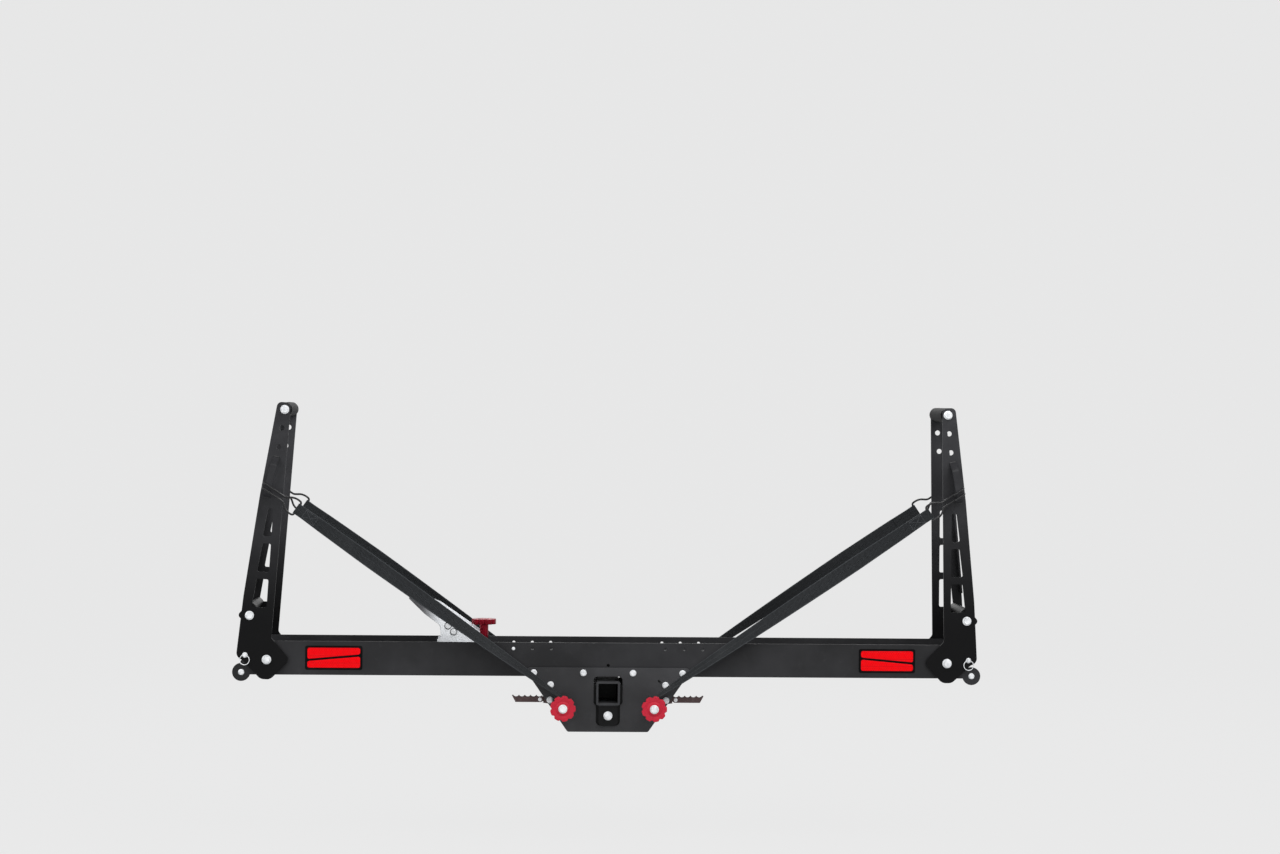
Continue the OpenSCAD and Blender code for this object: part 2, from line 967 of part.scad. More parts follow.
module strap(a) {
    d = pull(a);
    t = leave(a);
    r = wrap_r - web_t / 2;
    bar = seat(a) - d * (hook_len + 0.2);
    from = spool + r * [cos(t), sin(t)];
    run = norm(bar - from);
    eye = wire_d / 2 + 0.35 + web_t / 2;
    lay = web_t / 2 + 0.25;
    narrow = 30;
    rings = [
        for (i = [0:9])
            let (b = t + 130 - i * 13)
                web_ring(spool + r * [cos(b), sin(b)], -coil_mid, turned([1, 0], b - 90), 0, web_w),
        for (i = [1:22])
            let (k = i / 22, s = k * (run - 75), y = coil_mid + (hook_y + lay - coil_mid) * k)
                web_ring(from + d * s, -y, d, 90 * pow(k, 0.75), web_w - (web_w - 33) * max(0, k - 0.8) * 5),
        web_ring(bar - d * 16, -hook_y - lay, d, 90, narrow),
        for (q = [0:30:180])
            eye_ring(bar, d, q, eye, narrow),
        eye_ring(bar - d * 16, d, 180, lay, narrow),
        eye_ring(bar - d * 68, d, 180, lay, 33)
    ];
    polyhedron([for (g = rings) each g], skin_faces(len(rings), 4), 4);
}

module left_rear_strap() {
    placed(webbing)
        end_frame(true)
            strap(left_lean);
}

module left_front_strap() {
    placed(webbing)
        mirror([0, 1, 0])
            end_frame(true)
                strap(left_lean);
}

module right_rear_strap() {
    placed(webbing)
        end_frame(false)
            strap(right_lean);
}

module right_front_strap() {
    placed(webbing)
        mirror([0, 1, 0])
            end_frame(false)
                strap(right_lean);
}

// Spools

// Points of a coil's spiral, at one side of the webbing
function spiral(side) = [
    for (i = [0:24 * web_turns])
        let (r = coil_in + i / 24 * web_pitch + side * web_t / 2)
            r * [cos(i * 15), sin(i * 15)]
];
inner_side = spiral(-1);
outer_side = spiral(1);
coil_gap = min([for (i = [0:24 * web_turns - 24]) norm(inner_side[i + 24] - outer_side[i]) * cos(7.5)]);
echo("least gap between the turns of a coil, mm", coil_gap);

module coil() {
    translate([spool_x, -coil_y, spool_z])
        rotate([90, 0, 0])
            linear_extrude(web_w)
                polygon(concat(outer_side, [for (i = [len(inner_side) - 1:-1:0]) inner_side[i]]));
}

module left_coils() {
    placed(webbing)
        both_faces()
            end_frame(true)
                coil();
}

module right_coils() {
    placed(webbing)
        both_faces()
            end_frame(false)
                coil();
}

module spool_shaft() {
    difference() {
        union() {
            rod(spool, shaft_r, -coil_y - 1, coil_y + 1);
            both_faces()
                rod(spool, drum_r, -knob_y + 0.5, -bush_y - 0.6);
        }
        both_faces()
            rod(spool, 5.1, -knob_y - 1, -knob_y + 30);
    }
}

module left_spool_shaft() {
    placed(zinc)
        end_frame(true)
            spool_shaft();
}

module right_spool_shaft() {
    placed(zinc)
        end_frame(false)
            spool_shaft();
}

module ratchet_gear() {
    step = 360 / gear_teeth;
    difference() {
        slab(-gear_y, -gear_y + gear_t)
            translate(spool)
                polygon([
                    for (i = [0:gear_teeth - 1])
                        let (b = 80.4 + i * step)
                            each [
                                gear_root * [cos(b), sin(b)],
                                gear_tip * [cos(b + 1.5), sin(b + 1.5)],
                                (gear_tip - 1.6) * [cos(b + step * 0.4), sin(b + step * 0.4)]
                            ]
                ]);
        rod(spool, shaft_r + 0.05, -gear_y - 1, -gear_y + gear_t + 1);
    }
}

module left_ratchet_gear() {
    placed(zinc)
        end_frame(true)
            ratchet_gear();
}

module right_ratchet_gear() {
    placed(zinc)
        end_frame(false)
            ratchet_gear();
}

module winder_knob() {
    translate([spool_x, -knob_y, spool_z])
        rotate([90, 0, 0])
            difference() {
                union() {
                    hand_wheel(knob_d, knob_t, knob_lobes);
                    cylinder(r = 16, h = knob_t + 1);
                }
                translate([0, 0, -1])
                    cylinder(r = 5.2, h = knob_t + 4);
            }
}

module left_knob() {
    placed(red)
        end_frame(true)
            winder_knob();
}

module right_knob() {
    placed(red)
        end_frame(false)
            winder_knob();
}

// Knob bolt at the near end, bolt with a coil disc at the far end
module spool_bolts() {
    translate([spool_x, -knob_y - knob_t - 1, spool_z])
        rotate([90, 0, 0]) {
            hex_head(11.8, 9);
            translate([0, 0, -40])
                cylinder(r = 5, h = 41);
        }
    translate([spool_x, knob_y, spool_z])
        rotate([-90, 0, 0]) {
            cylinder(r = 30, h = 3);
            translate([0, 0, 3])
                hex_head(11.8, 9);
            translate([0, 0, -25])
                cylinder(r = 5, h = 29);
        }
}

module left_spool_bolts() {
    placed(zinc)
        end_frame(true)
            spool_bolts();
}

module right_spool_bolts() {
    placed(zinc)
        end_frame(false)
            spool_bolts();
}

// Pedals

pedal = [pedal_x, pedal_z];
// Pawl tip from the pivot: just clear of the gear's teeth
pawl = spool - pedal + [4.7, gear_tip + 0.1];

module pawl_lever() {
    difference() {
        union() {
            slab(-gear_y, -gear_y + gear_t)
                translate(pedal) {
                    circle(12);
                    polygon(rounded([
                        [pawl.x, pawl.y, 0],
                        [pawl.x + 1.4, pawl.y + 6.6, 1],
                        [-6, 12, 3],
                        [14, 7, 6],
                        [50, 5.5, 3],
                        [50, -3.5, 2],
                        [19, -3.5, 2],
                        [16.5, -9.6, 3],
                        [0, -12, 2],
                        [-12, pawl.y - 0.4, 2]
                    ], 4));
                }
            rod(pedal + [13.5, -6.7], 2, -gear_y + gear_t - 1, -gear_y + gear_t + 7);
            rod(pedal + [26.5, 0], 3, -gear_y - 4.2, -gear_y + gear_t + 4.2);
            rod(pedal + [26.5, 0], 5, -gear_y - 5.4, -gear_y - 3.6);
            rod(pedal + [26.5, 0], 5, -gear_y + gear_t + 3.6, -gear_y + gear_t + 5.4);
        }
        rod(pedal, 8 + pedal_play, -gear_y - 1, -gear_y + gear_t + 1);
    }
}

module left_pawl_lever() {
    placed(zinc)
        end_frame(true)
            pawl_lever();
}

module right_pawl_lever() {
    placed(zinc)
        end_frame(false)
            pawl_lever();
}

module tread_side() {
    pitch = 78 / tread_teeth;
    scallop = pitch * 0.55;
    difference() {
        polygon(rounded([[17.5, -7.4, 8], [92, -7.4, 1], [101.5, 10.4, 0], [17.5, 10.4, 8.4]]));
        for (i = [0:tread_teeth - 1])
            translate([98.5 - (i + 0.5) * pitch, 10.4 + scallop * 0.52])
                circle(scallop, $fn = 32);
        translate([26.5, 0])
            circle(3.2);
    }
}

module tread() {
    y = gear_y + 0.5;
    slab(-y - 3, -y)
        translate(pedal)
            tread_side();
    slab(-y + gear_t + 1, -y + gear_t + 4)
        translate(pedal)
            tread_side();
    slab(-y - 1, -y + gear_t + 2)
        translate(pedal + [22, -7.4])
            square([69, 2.5]);
}

module left_tread() {
    placed(black)
        end_frame(true)
            tread();
}

module right_tread() {
    placed(black)
        end_frame(false)
            tread();
}

// Torsion spring on the pedal pivot: one leg behind the upper spacer, one under the lever's peg
spring_r = 10.2;
spring_pitch = spring_wire + 0.6;
spring_y = -gear_y + gear_t + 2.6;

module pawl_spring() {
    last = 34;
    lead = spring_y + last / 8 * spring_pitch;
    path = [
        [pedal_x - spring_r - 1.6, lead, pedal_z + 46],
        [pedal_x - spring_r - 1.1, lead, pedal_z + 24],
        [pedal_x - spring_r - 0.2, lead, pedal_z + 5],
        for (i = [0:last])
            let (b = 180 + i * 45)
                [pedal_x + spring_r * cos(b), lead - i / 8 * spring_pitch, pedal_z + spring_r * sin(b)],
        [pedal_x + 6, spring_y, pedal_z - spring_r],
        [pedal_x + 19, spring_y, pedal_z - spring_r]
    ];
    wire(path, spring_wire / 2, 6, [0, 1, 0]);
}

module left_pawl_spring() {
    placed(zinc)
        end_frame(true)
            pawl_spring();
}

module right_pawl_spring() {
    placed(zinc)
        end_frame(false)
            pawl_spring();
}

// Lock pins

module lock_pin() {
    p = [lock_out, lock_up];
    difference() {
        union() {
            rod(p, lock_d / 2, -arm_out - 9, -half_w + 9.5);
            rod(p, 7, -arm_out - 3.2, -arm_out - ease);
        }
        translate([lock_out - 10, -arm_out - 6.4, lock_up])
            rotate([0, 90, 0])
                cylinder(r = 1.5, h = 20);
    }
}

// Pull ring through the pin's cross hole
module pin_ring() {
    translate([lock_out, -arm_out - 6.4, lock_up - ring_r])
        rotate([90, 0, 0])
            rotate_extrude($fn = 60)
                translate([ring_r, 0])
                    circle(1, $fn = 24);
}

module left_lock_pin() {
    placed(zinc)
        arm_frame(true)
            lock_pin();
}

module right_lock_pin() {
    placed(zinc)
        arm_frame(false)
            lock_pin();
}

module left_pin_ring() {
    placed(zinc)
        arm_frame(true)
            pin_ring();
}

module right_pin_ring() {
    placed(zinc)
        arm_frame(false)
            pin_ring();
}

// Chock

base_z = floor_z + 0.1;
base_x = chock_x - 126;
cheek_x = chock_x - 116;
cheek_y = 44;
cheek_t = 4;
cheek_holes = [[20, 38.5], [35, 22.5]];

// Base plate that slides on the floor between the walls
module chock_base() {
    w = tray_w - 2 * wall_t - 1;
    placed(alloy)
        difference() {
            translate([base_x, -w / 2, base_z])
                cube([chock_len, w, 4]);
            translate([chock_x, 0, base_z - 20])
                cylinder(r = 5.3, h = 40);
        }
}

// Bent cheek: web with a foot, and a wing turned outwards
module cheek() {
    slab(-cheek_y, -cheek_y + cheek_t)
        difference() {
            polygon([
                [cheek_x - 9, base_z + 4],
                [cheek_x + 106, base_z + 4],
                [cheek_x + 106, tray_top + 23],
                [cheek_x, tray_top + 96],
                [cheek_x, tray_top + 5],
                [cheek_x - 9, tray_top + 2]
            ]);
            for (p = cheek_holes)
                translate([cheek_x + p.x, tray_top + p.y])
                    circle(4.3);
        }
    translate([cheek_x, -cheek_y - 34, base_z + 4])
        cube([98, 36, 4]);
    translate([cheek_x, -cheek_y, 0])
        rotate([0, 0, cheek_angle])
            slab(0, cheek_t)
                polygon(rounded([
                    [1.2, tray_top + 26, 0],
                    [0, tray_top + 26, 0],
                    [0, tray_top + 39, 16],
                    [-44, tray_top + 71, 60],
                    [-88.7, tray_top + 113.6, 3],
                    [-79, tray_top + 127, 3],
                    [0, tray_top + 96, 0],
                    [1.2, tray_top + 95.2, 0]
                ]));
}

module chock_cheeks() {
    placed(alloy)
        both_faces()
            cheek();
}

// Through bolts of the cheeks, with shoulders between them
module chock_bolts() {
    placed(zinc)
        for (p = cheek_holes)
            let (c = [cheek_x + p.x, tray_top + p.y]) {
                through_bolt(c, 4, 8, 6, -cheek_y, cheek_y);
                rod(c, 6.5, -cheek_y + cheek_t, cheek_y - cheek_t);
            }
}

module chock_clamp_plate() {
    placed(zinc)
        translate([chock_x, 0, floor_z - wall_t - 8.3])
            difference() {
                translate([-22, -30, 0])
                    cube([44, 60, 8]);
                translate([0, 0, -1])
                    cylinder(r = 5.3, h = 10);
            }
}

module chock_knob() {
    placed(red)
        translate([chock_x, 0, 0]) {
            translate([0, 0, tray_top + 41])
                hand_wheel(clamp_knob_d, 14, knob_lobes);
            translate([0, 0, base_z + 4.2])
                cylinder(r = 12, h = tray_top + 42 - base_z - 4.2);
            translate([0, 0, floor_z - wall_t - 14])
                cylinder(r = 5, h = wall_t + 24);
        }
}

// Drawing

tray();
rear_plate();
front_plate();
receiver_tube();
receiver_carriers();
receiver_bolts();
hitch_shank();
plate_bolts();
tie_bolts();
plate_spacers();
spool_bushes();
pivot_bushes();
pivot_bolts();
ramp_bars();
ramp_bolts();
reflector_bases();
reflector_lenses();
left_rear_strap();
left_front_strap();
right_rear_strap();
right_front_strap();
left_pawl_spring();
right_pawl_spring();
left_rear_arm();
left_front_arm();
left_top_roller();
left_lower_bar();
left_arm_bolts();
left_strap_loops();
left_hooks();
right_rear_arm();
right_front_arm();
right_top_roller();
right_lower_bar();
right_arm_bolts();
right_strap_loops();
right_hooks();
left_lock_pin();
left_pin_ring();
right_lock_pin();
right_pin_ring();
left_spool_shaft();
left_ratchet_gear();
left_coils();
left_knob();
left_spool_bolts();
right_spool_shaft();
right_ratchet_gear();
right_coils();
right_knob();
right_spool_bolts();
left_pawl_lever();
left_tread();
right_pawl_lever();
right_tread();
chock_base();
chock_cheeks();
chock_bolts();
chock_clamp_plate();
chock_knob();
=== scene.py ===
"""Looks of a hitch motorcycle carrier: webbing, hooks, knobs, strap loops, lenses, welds and finishes.

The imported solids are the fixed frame. This script replaces their soft and moulded pieces with fuller ones,
gives every surface a procedural finish, and sets the floor, the light and the camera.
"""

import json
import logging
import math
from dataclasses import dataclass, field
from enum import Enum
from typing import Any, Callable, Sequence

import bpy
from mathutils import Matrix, Vector


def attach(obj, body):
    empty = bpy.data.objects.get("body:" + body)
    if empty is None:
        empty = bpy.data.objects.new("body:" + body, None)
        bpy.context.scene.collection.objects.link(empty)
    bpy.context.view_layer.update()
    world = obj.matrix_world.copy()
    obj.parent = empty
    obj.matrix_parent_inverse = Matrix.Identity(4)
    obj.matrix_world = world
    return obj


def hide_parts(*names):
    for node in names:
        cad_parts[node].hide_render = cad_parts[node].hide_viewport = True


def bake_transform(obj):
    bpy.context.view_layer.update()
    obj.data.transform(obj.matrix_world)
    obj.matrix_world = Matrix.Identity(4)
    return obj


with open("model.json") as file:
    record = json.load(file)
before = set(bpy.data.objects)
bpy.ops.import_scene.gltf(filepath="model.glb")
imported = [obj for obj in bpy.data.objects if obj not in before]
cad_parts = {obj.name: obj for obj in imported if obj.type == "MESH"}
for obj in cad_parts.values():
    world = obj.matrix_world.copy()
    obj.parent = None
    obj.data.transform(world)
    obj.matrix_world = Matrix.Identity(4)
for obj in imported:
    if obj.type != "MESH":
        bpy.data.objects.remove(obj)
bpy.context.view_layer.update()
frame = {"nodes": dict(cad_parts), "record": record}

LOG = logging.getLogger("carrier")
MM = 0.001
RGB = tuple[float, float, float]

# Axis of a winder spool in X and Z, in millimetres
SPOOL = (121.5, -36.0)


class End(Enum):
    """The two ends of the tray, as seen from behind the vehicle."""

    LEFT = "left"
    RIGHT = "right"

    @property
    def sign(self) -> float:
        """Sign of X at this end."""
        return -1.0 if self is End.LEFT else 1.0


class Face(Enum):
    """The two long faces of the carrier: away from the vehicle and towards it."""

    REAR = "rear"
    FRONT = "front"

    @property
    def sign(self) -> float:
        """Sign of Y, counted from the tray's middle, at this face."""
        return -1.0 if self is Face.REAR else 1.0


def linear(red: int, green: int, blue: int) -> RGB:
    """Turns a colour as it is seen on a screen into the linear values a shader takes.

    Args:
        red: Red from 0 to 255.
        green: Green from 0 to 255.
        blue: Blue from 0 to 255.

    Returns:
        The three linear values from 0 to 1.
    """
    values = []
    for part in (red, green, blue):
        share = part / 255.0
        values.append(share / 12.92 if share <= 0.04045 else ((share + 0.055) / 1.055) ** 2.4)
    return (values[0], values[1], values[2])


def shaded(colour: RGB, share: float, lift: float = 0.0) -> RGB:
    """A linear colour made darker or paler by a factor and an amount that is added."""
    red, green, blue = (min(1.0, part * share + lift) for part in colour)
    return (red, green, blue)


# Shader graphs


class Field:
    """A value that changes over a surface: a shader socket that takes part in Python maths."""

    def __init__(self, graph: "Graph", socket: bpy.types.NodeSocket) -> None:
        """Wraps one output socket of a graph."""
        self.graph = graph
        self.socket = socket

    def _math(self, operation: str, first: Any, second: Any = 0.0) -> "Field":
        """Adds one Math node and returns its result."""
        return self.graph.node("ShaderNodeMath", {"operation": operation}, {0: first, 1: second})

    def __add__(self, other: Any) -> "Field":
        """Sum of two values."""
        return self._math("ADD", self, other)

    __radd__ = __add__

    def __mul__(self, other: Any) -> "Field":
        """Product of two values."""
        return self._math("MULTIPLY", self, other)

    def __sub__(self, other: Any) -> "Field":
        """Difference of two values."""
        return self._math("SUBTRACT", self, other)

    def __rsub__(self, other: Any) -> "Field":
        """Difference with this value taken away."""
        return self._math("SUBTRACT", other, self)

    def __truediv__(self, other: Any) -> "Field":
        """Quotient of two values."""
        return self._math("DIVIDE", self, other)

    def sine(self) -> "Field":
        """Sine of the value in radians."""
        return self._math("SINE", self)

    def floor(self) -> "Field":
        """Whole part of the value."""
        return self._math("FLOOR", self)

    def size(self) -> "Field":
        """The value without its sign."""
        return self._math("ABSOLUTE", self)

    def above(self, edge: float) -> "Field":
        """One where the value is over an edge, otherwise zero."""
        return self._math("GREATER_THAN", self, edge)

    def ramp(self, low: float, high: float) -> "Field":
        """Smooth step from zero at low to one at high."""
        return self.graph.node(
            "ShaderNodeMapRange",
            {"interpolation_type": "SMOOTHSTEP"},
            {"Value": self, "From Min": low, "From Max": high},
        )


class Graph:
    """The node tree of one material, built by expressions."""

    def __init__(self, name: str) -> None:
        """Starts an empty material with a Principled shader.

        Args:
            name: Name of the material.
        """
        self.material = bpy.data.materials.new(name)
        self.material.use_nodes = True
        self.tree = self.material.node_tree
        self.shader = self.tree.nodes["Principled BSDF"]

    def node(self, kind: str, settings: dict[str, Any], sockets: dict[Any, Any], output: Any = 0) -> Field:
        """Adds any node.

        Args:
            kind: Type of the node.
            settings: Properties that are set first.
            sockets: Values or fields for its inputs, by name or number.
            output: Name or number of the output that is returned.

        Returns:
            The chosen output as a field.
        """
        made = self.tree.nodes.new(kind)
        for key, value in settings.items():
            setattr(made, key, value)
        for key, value in sockets.items():
            self.feed(made.inputs[key], value)
        return Field(self, made.outputs[output])

    def feed(self, socket: bpy.types.NodeSocket, value: Any) -> None:
        """Links a field to an input, or sets the input's own value.

        Args:
            socket: Input that is fed.
            value: Field, number, colour or vector.
        """
        if isinstance(value, Field):
            self.tree.links.new(value.socket, socket)
        elif isinstance(value, tuple) and len(value) == 3 and len(socket.default_value) == 4:
            socket.default_value = (*value, 1.0)
        else:
            socket.default_value = value

    def place(self, source: str = "Object") -> Field:
        """Coordinates of the surface: Object or UV."""
        return self.node("ShaderNodeTexCoord", {}, {}, source)

    def axes(self, source: str = "Object") -> list[Field]:
        """The three coordinates of the surface, Object or UV, each as a field of its own."""
        first = self.node("ShaderNodeSeparateXYZ", {}, {0: self.place(source)})
        return [Field(self, output) for output in first.socket.node.outputs]

    def stretch(self, scale: Sequence[float], turn: Sequence[float] = (0, 0, 0)) -> Field:
        """Object coordinates, scaled along each axis and then turned about each in radians."""
        return self.node(
            "ShaderNodeMapping",
            {},
            {"Vector": self.place(), "Scale": tuple(scale), "Rotation": tuple(turn)},
        )

    def noise(self, where: Field, scale: float, detail: float = 3.0, rough: float = 0.55) -> Field:
        """Smooth noise from about zero to one: lumps per unit, octaves, and strength of the finer ones."""
        return self.node(
            "ShaderNodeTexNoise",
            {},
            {"Vector": where, "Scale": scale, "Detail": detail, "Roughness": rough},
            "Fac",
        )

    def mix(self, share: Any, first: Any, second: Any) -> Field:
        """Blend of two colours or colour fields: a share of zero gives the first."""
        return self.node("ShaderNodeMix", {"data_type": "RGBA"}, {0: share, 6: first, 7: second}, 2)

    def bump(self, height: Any, depth: float, strength: float = 1.0, normal: Field | None = None) -> Field:
        """Normal that follows a height field.

        Args:
            height: Height from zero to one.
            depth: Depth of the relief in metres.
            strength: Share of the relief that is used.
            normal: Normal to start from.

        Returns:
            The bumped normal.
        """
        sockets: dict[Any, Any] = {"Height": height, "Distance": depth, "Strength": strength}
        if normal is not None:
            sockets["Normal"] = normal
        return self.node("ShaderNodeBump", {}, sockets)

    def edge(self, radius: float) -> tuple[Field, Field]:
        """Softened normal near sharp edges, and a mask of those edges.

        Args:
            radius: Width of the softening in metres.

        Returns:
            The softened normal and the edge mask from zero to one.
        """
        soft = self.node("ShaderNodeBevel", {"samples": 4}, {"Radius": radius})
        plain = self.node("ShaderNodeNewGeometry", {}, {}, "Normal")
        dot = self.node("ShaderNodeVectorMath", {"operation": "DOT_PRODUCT"}, {0: soft, 1: plain}, "Value")
        return soft, (1.0 - dot).ramp(0.02, 0.3)

    def set(self, **sockets: Any) -> None:
        """Feeds inputs of the shader, with spaces written as underscores."""
        for key, value in sockets.items():
            self.feed(self.shader.inputs[key.replace("_", " ")], value)


@dataclass(frozen=True)
class PowderCoat:
    """Fine-textured black powder coat on folded steel: edges paler, partly worn and partly painted
    highlight; optional painted shade towards the bottom.
    """

    name: str
    body: RGB
    wear_and_painted_light: RGB = linear(92, 92, 94)
    dust: RGB = linear(70, 70, 71)
    rough: float = 0.4
    grain: float = 520.0
    edge_wear_and_highlight: float = 0.3
    shine: float = 0.34
    # Foot colour: painted shade towards the bottom, set in between the two heights that follow.
    foot: RGB | None = None
    painted_shade_at: tuple[float, float] = (-0.036, -0.032)

    def make(self) -> bpy.types.Material:
        """Builds the material and returns it."""
        g = Graph(self.name)
        where = g.place()
        soft, rim = g.edge(0.0011)
        cloud = g.noise(where, 5.0, 4.0)
        dust = g.noise(where, 42.0, 5.0, 0.65)
        grain = g.noise(where, self.grain, 2.0, 0.5)
        coat = g.mix(cloud.ramp(0.35, 0.7), shaded(self.body, 0.78), shaded(self.body, 1.45, 0.004))
        speck = dust.ramp(0.56, 0.78) * 0.16
        coat = g.mix(speck, coat, self.dust)
        # Painted shade: below the given heights the coat turns to the darker foot colour.
        if self.foot is not None:
            coat = g.mix(g.axes()[2].ramp(*self.painted_shade_at), self.foot, coat)
        # Paler edges, partly worn and partly a painted highlight along them.
        wear_and_highlight_mask = rim * g.noise(where, 130.0, 3.0).ramp(0.42, 0.72) * self.edge_wear_and_highlight
        g.set(
            Base_Color=g.mix(wear_and_highlight_mask, coat, self.wear_and_painted_light),
            Roughness=self.rough + (cloud - 0.5) * 0.12 + speck * 0.5,
            Normal=g.bump(grain, 0.00022, 0.55, soft),
            Specular_IOR_Level=self.shine,
        )
        return g.material


@dataclass(frozen=True)
class ZincPlate:
    """Bright zinc on fasteners and shafts: pale, slightly clouded, with fine turning marks."""

    name: str
    body: RGB = linear(246, 247, 248)
    dull: RGB = linear(206, 208, 210)
    rough: float = 0.34

    def make(self) -> bpy.types.Material:
        """Builds the material and returns it."""
        g = Graph(self.name)
        where = g.place()
        soft, rim = g.edge(0.0006)
        cloud = g.noise(where, 75.0, 4.0)
        fine = g.noise(where, 900.0, 2.0)
        g.set(
            Base_Color=g.mix(cloud.ramp(0.3, 0.72), self.body, self.dull),
            Roughness=self.rough + cloud * 0.16 - rim * 0.08,
            Normal=g.bump(fine, 0.00006, 0.4, soft),
            Metallic=0.35,
        )
        return g.material


@dataclass(frozen=True)
class DullSteel:
    """Grey cast tread steel, worn brighter on its teeth."""

    name: str
    body: RGB = linear(74, 58, 58)
    worn: RGB = linear(128, 112, 112)

    def make(self) -> bpy.types.Material:
        """Builds the material and returns it."""
        g = Graph(self.name)
        where = g.place()
        soft, rim = g.edge(0.0009)
        grain = g.noise(where, 420.0, 4.0)
        patch = g.noise(where, 60.0, 3.0)
        g.set(
            Base_Color=g.mix(rim * 0.7 + patch.ramp(0.55, 0.8) * 0.3, self.body, self.worn),
            Roughness=0.42 + grain * 0.2,
            Normal=g.bump(grain, 0.00015, 0.5, soft),
            Metallic=0.55,
        )
        return g.material


@dataclass(frozen=True)
class WovenWebbing:
    """Black polyester webbing: two ribbed bands, a smooth line along the middle and pale edges.

    The U of its map runs along the strap in strap widths, and V across it from zero to one.
    """

    name: str
    body: RGB = linear(9, 10, 11)
    lit: RGB = linear(82, 85, 88)
    soil: RGB = linear(58, 59, 60)
    ribs: float = 9.5
    cords: float = 15.0
    threads: float = 90.0

    def make(self) -> bpy.types.Material:
        """Builds the material and returns it."""
        g = Graph(self.name)
        along, across, _ = g.axes("UV")
        cord = across * self.cords
        step = cord.floor() * math.pi
        rib = (along * (self.ribs * 2.0 * math.pi) + step).sine() * 0.5 + 0.5
        valley = (cord * math.pi).sine().size().ramp(0.05, 0.55)
        weave = rib.ramp(0.1, 0.9) * 0.65 + valley * 0.35
        middle = 1.0 - (across - 0.5).size().ramp(0.025, 0.05)
        selvedge = (across - 0.5).size().ramp(0.425, 0.475)
        line = (across * self.threads * math.pi).sine() * 0.5 + 0.5
        height = weave * (1.0 - middle) + line * middle
        fuzz = g.noise(g.place(), 700.0, 4.0, 0.7)
        dirt = g.noise(g.place(), 14.0, 4.0)
        shade = height * 0.6 + fuzz * 0.25 + selvedge * 0.25 + middle * 0.1
        cloth = g.mix(shade.ramp(0.3, 1.2), self.body, self.lit)
        g.set(
            Base_Color=g.mix(dirt.ramp(0.5, 0.85) * 0.25, cloth, self.soil),
            Roughness=0.74 + fuzz * 0.16 - selvedge * 0.1,
            Normal=g.bump(height + fuzz * 0.25, 0.00035, 0.9),
            Specular_IOR_Level=0.15,
            Sheen_Weight=0.05,
            Sheen_Roughness=0.4,
        )
        return g.material


@dataclass(frozen=True)
class SewingThread:
    """Twisted thread of the box stitches."""

    name: str
    body: RGB = linear(82, 84, 88)

    def make(self) -> bpy.types.Material:
        """Builds the material and returns it."""
        g = Graph(self.name)
        twist = g.noise(g.place(), 1600.0, 2.0)
        g.set(
            Base_Color=g.mix(twist, shaded(self.body, 0.6), self.body),
            Roughness=0.7,
            Normal=g.bump(twist, 0.0001, 0.6),
        )
        return g.material


@dataclass(frozen=True)
class MouldedRed:
    """Red moulded hand wheels: smooth, with faint flow marks and paler lips."""

    name: str
    body: RGB = linear(184, 20, 46)
    deep: RGB = linear(156, 12, 34)
    lip: RGB = linear(214, 66, 86)
    rough: float = 0.42
    metal: float = 0.0

    def make(self) -> bpy.types.Material:
        """Builds the material and returns it."""
        g = Graph(self.name)
        where = g.place()
        soft, rim = g.edge(0.0012)
        flow = g.noise(where, 26.0, 3.0)
        skin = g.noise(where, 620.0, 2.0)
        colour = g.mix(flow.ramp(0.35, 0.75) * 0.5, self.body, self.deep)
        g.set(
            Base_Color=g.mix(rim * 0.2, colour, self.lip),
            Roughness=self.rough + skin * 0.08 + flow * 0.06,
            Normal=g.bump(skin, 0.0001, 0.35, soft),
            Specular_IOR_Level=0.3,
            Coat_Weight=0.06,
            Coat_Roughness=0.2,
            Metallic=self.metal,
        )
        return g.material


@dataclass(frozen=True)
class ReflectorLens:
    """Red reflector: small corner prisms behind a glossy skin, glowing with painted light although it is no
    lamp.
    """

    name: str
    body: RGB = linear(228, 0, 3)
    deep: RGB = linear(152, 0, 2)
    # Painted light: emission colours that keep the prisms glowing.
    painted_glow: RGB = (0.42, 0.0, 0.006)
    painted_glow_deep: RGB = (0.16, 0.0, 0.002)
    pitch: float = 0.0032
    bar: float = 0.019

    def make(self) -> bpy.types.Material:
        """Builds the material and returns it."""
        g = Graph(self.name)
        turn = math.pi / self.pitch
        slant, rise = turn * 0.5, turn * 0.866
        run, _, up = g.axes()
        one = (run * turn).sine().size()
        two = (run * slant + up * rise).sine().size()
        three = (run * slant - up * rise).sine().size()
        prism = (one + two + three) / 3.0
        band = (up * (math.pi / self.bar)).sine().size().ramp(0.02, 0.12)
        colour = g.mix(prism.ramp(0.3, 0.85) * band, self.deep, self.body)
        g.set(
            Base_Color=colour,
            # Painted light: the lens glows though it is no lamp.
            Emission_Color=g.mix(prism, self.painted_glow_deep, self.painted_glow),
            Emission_Strength=0.55,
            Roughness=0.12 + prism * 0.1,
            Normal=g.bump(prism * band, 0.0005, 0.5),
            Coat_Weight=0.05,
            Coat_Roughness=0.06,
            Specular_IOR_Level=0.08,
        )
        return g.material


